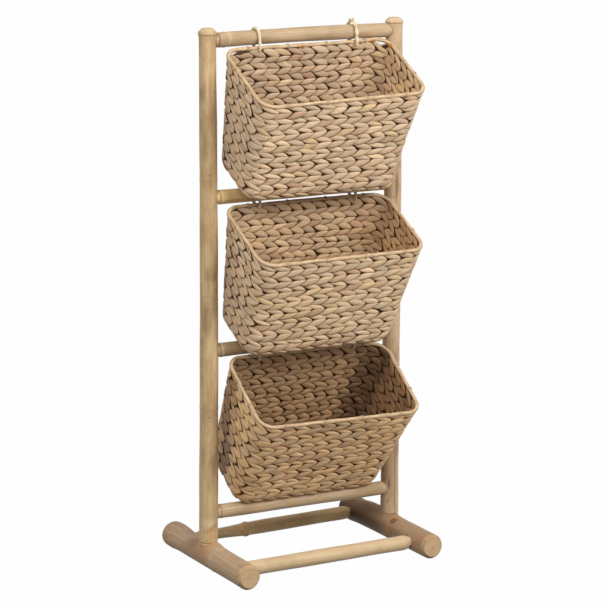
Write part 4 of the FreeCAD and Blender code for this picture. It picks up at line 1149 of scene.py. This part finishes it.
points, faces, strand = sewn(LASHINGS, LASHING_DROP, THREAD_RADIUS)
for tier in TIERS:
    add_piece(f"{tier}_lashings", hang(points, tier), faces, f"{tier}_basket", [CANE],
              [f"{tier}_basket_lashings"], {"strand": strand})
points, faces, strand = sewn(AMBER_STITCHES, AMBER_DROP, AMBER_RADIUS)
add_piece("top_amber_stitches", hang(points, "top"), faces, "top_basket", [AMBER],
          attributes={"strand": strand})
print(len(LASHINGS), "lashings on each rim,", len(AMBER_STITCHES), "amber stitches")

# %% Loops
HANG_FORWARD, HANG_DROP, LOOP_GAP, CORD_RADIUS = 10.5, 16.0, 0.4, 2.5
LOOP_HALF_SPACING = 90.9
LOOP_STEPS, BELT_STEPS, CORD_ROUND, CORD_TURNS, SLACK_POWER = 150, 1441, 18, 5, 1.5
TIER_RAILS = {"top": "top_rail", "middle": "upper_rail", "bottom": "lower_rail"}
# Room round the rim, slack over the rail, distance of the plies from the cord's middle, and their radius.
PLAIN_LOOP, TWISTED_LOOP = (0.0, 0.0, 0.3, 2.3), (1.2, 6.0, 1.5, 2.1)


def belt_path(rail_reach, rim_reach, slack):
    """The edge of the convex hull of two circles: for each normal angle take the circle that reaches further,
    then space the points evenly. Slack lifts the top of the belt off the rail."""
    angle = np.linspace(0, 2 * np.pi, BELT_STEPS)
    normal = ring_of(1.0, angle)
    rail = np.array([HANG_FORWARD, HANG_DROP])
    on_rail = normal @ rail + rail_reach > rim_reach
    edge = np.where(on_rail[:, None], rail + rail_reach * normal, rim_reach * normal)
    walked = np.append(0, np.cumsum(np.linalg.norm(np.diff(edge, axis=0), axis=1)))
    even = np.arange(LOOP_STEPS) / LOOP_STEPS * walked[-1]
    y, z = (np.interp(even, walked, edge[:, axis]) for axis in (0, 1))
    lifted = z + slack * np.clip((z - HANG_DROP) / rail_reach, 0, 1) ** SLACK_POWER
    return np.stack([0 * y, y, lifted], -1)


def cord_outline(apart, ply):
    """Two round plies side by side, turning along the cord: reach = d |cos t| + sqrt(p^2 - d^2 sin^2 t)."""
    turn = full_turn(CORD_ROUND)[None]
    twist = np.arange(LOOP_STEPS)[:, None] / LOOP_STEPS * 2 * np.pi * CORD_TURNS
    face = turn - twist
    reach = apart * np.abs(np.cos(face)) + np.sqrt(ply ** 2 - (apart * np.sin(face)) ** 2)
    return ring_of(reach, turn)


for tier in TIERS:
    rail_low, rail_high = pole_box(TIER_RAILS[tier])
    rail_reach = (rail_high[2] - rail_low[2]) / 2 - NODE_RISE + LOOP_GAP + CORD_RADIUS
    for side, name in ((-1, "left"), (1, "right")):
        room, slack, apart, ply = TWISTED_LOOP if (tier, name) == ("top", "right") else PLAIN_LOOP
        path = belt_path(rail_reach, RIM_RADIUS + LOOP_GAP + CORD_RADIUS + room, slack)
        sideways = np.broadcast_to(RIGHT, path.shape)
        upright = np.cross(headings(path), sideways)
        points, faces, strand = closed_tube(path, sideways, upright, cord_outline(apart, ply))
        place = HINGES[tier + "_swing"] + np.array([side * LOOP_HALF_SPACING, 0.0, 0.0])
        add_piece(f"{tier}_{name}_cord", points + place, faces, f"{tier}_loops", [CORD],
                  [f"{tier}_{name}_loop"], {"strand": strand})
print("six loops")

# %% [markdown]
# ## Nails and screws
# One nail holds each rail tenon, driven from the back of the post, and its head shows there. The
# nails and screws under the feet are sunk out of sight, and keep their solids with a steel finish.

# %% Fasteners
def steel_material():
    graph = Graph("nail_steel")
    wear = graph.noise(graph.object_place(), (700, 700, 700), 3.0)
    tone = graph.ramp(wear, (0.35, paint(96, 92, 88)), (0.65, paint(150, 147, 142)))
    rough = graph.ramp(wear, (0.3, (0.32, 0.32, 0.32, 1)), (0.7, (0.5, 0.5, 0.5, 1)))
    return graph.finish(Base_Color=tone, Metallic=1.0, Roughness=rough)


STEEL = steel_material()
HEAD_ROUND, POINT_LENGTH = 20, 3.0
HEAD_OUTLINE = np.array([(1.1, -14.0), (1.1, -0.9), (2.2, -0.9), (2.2, 0.0), (1.9, 0.25), (1.0, 0.4)])


def nail(place):
    """A nail turned from its half outline of (radius, height) pairs, pointing out of the back of the post."""
    turn = full_turn(HEAD_ROUND)
    radius, height = HEAD_OUTLINE[:, :1], HEAD_OUTLINE[:, 1:]
    grid = np.stack([radius * np.cos(turn), height + 0 * turn, radius * np.sin(turn)], -1)
    tips = [(0, HEAD_OUTLINE[0, 1] - POINT_LENGTH, 0), (0, HEAD_OUTLINE[-1, 1], 0)]
    points = np.vstack([grid.reshape(-1, 3), tips])
    faces = [grid_quads(*grid.shape[:2]), *end_fans(len(points), *grid.shape[:2])]
    return points + np.array(place), turned_out(points, faces), points


nails = []
for rail in ("top_rail", "upper_rail", "lower_rail", "bottom_rail"):
    level = sum(pole_box(rail))[2] / 2
    for side, radii in ((-1, POST_RADII["left"]), (1, POST_RADII["right"])):
        reach = radii[0] + (radii[1] - radii[0]) * (level - POST_START) / post_height
        nails.append(nail((side * post_x, stand_plane + reach, level)))
points, faces, _ = joined(nails)
add_piece("rail_nail_heads", points, faces, "stand", [STEEL], ["rail_nails"], sharp=SHARP_EDGE)
for name in ("stretcher_nails", "foot_screws"):
    frame["nodes"][name].data.materials.clear()
    frame["nodes"][name].data.materials.append(STEEL)
print(len(nails), "nails behind the posts")
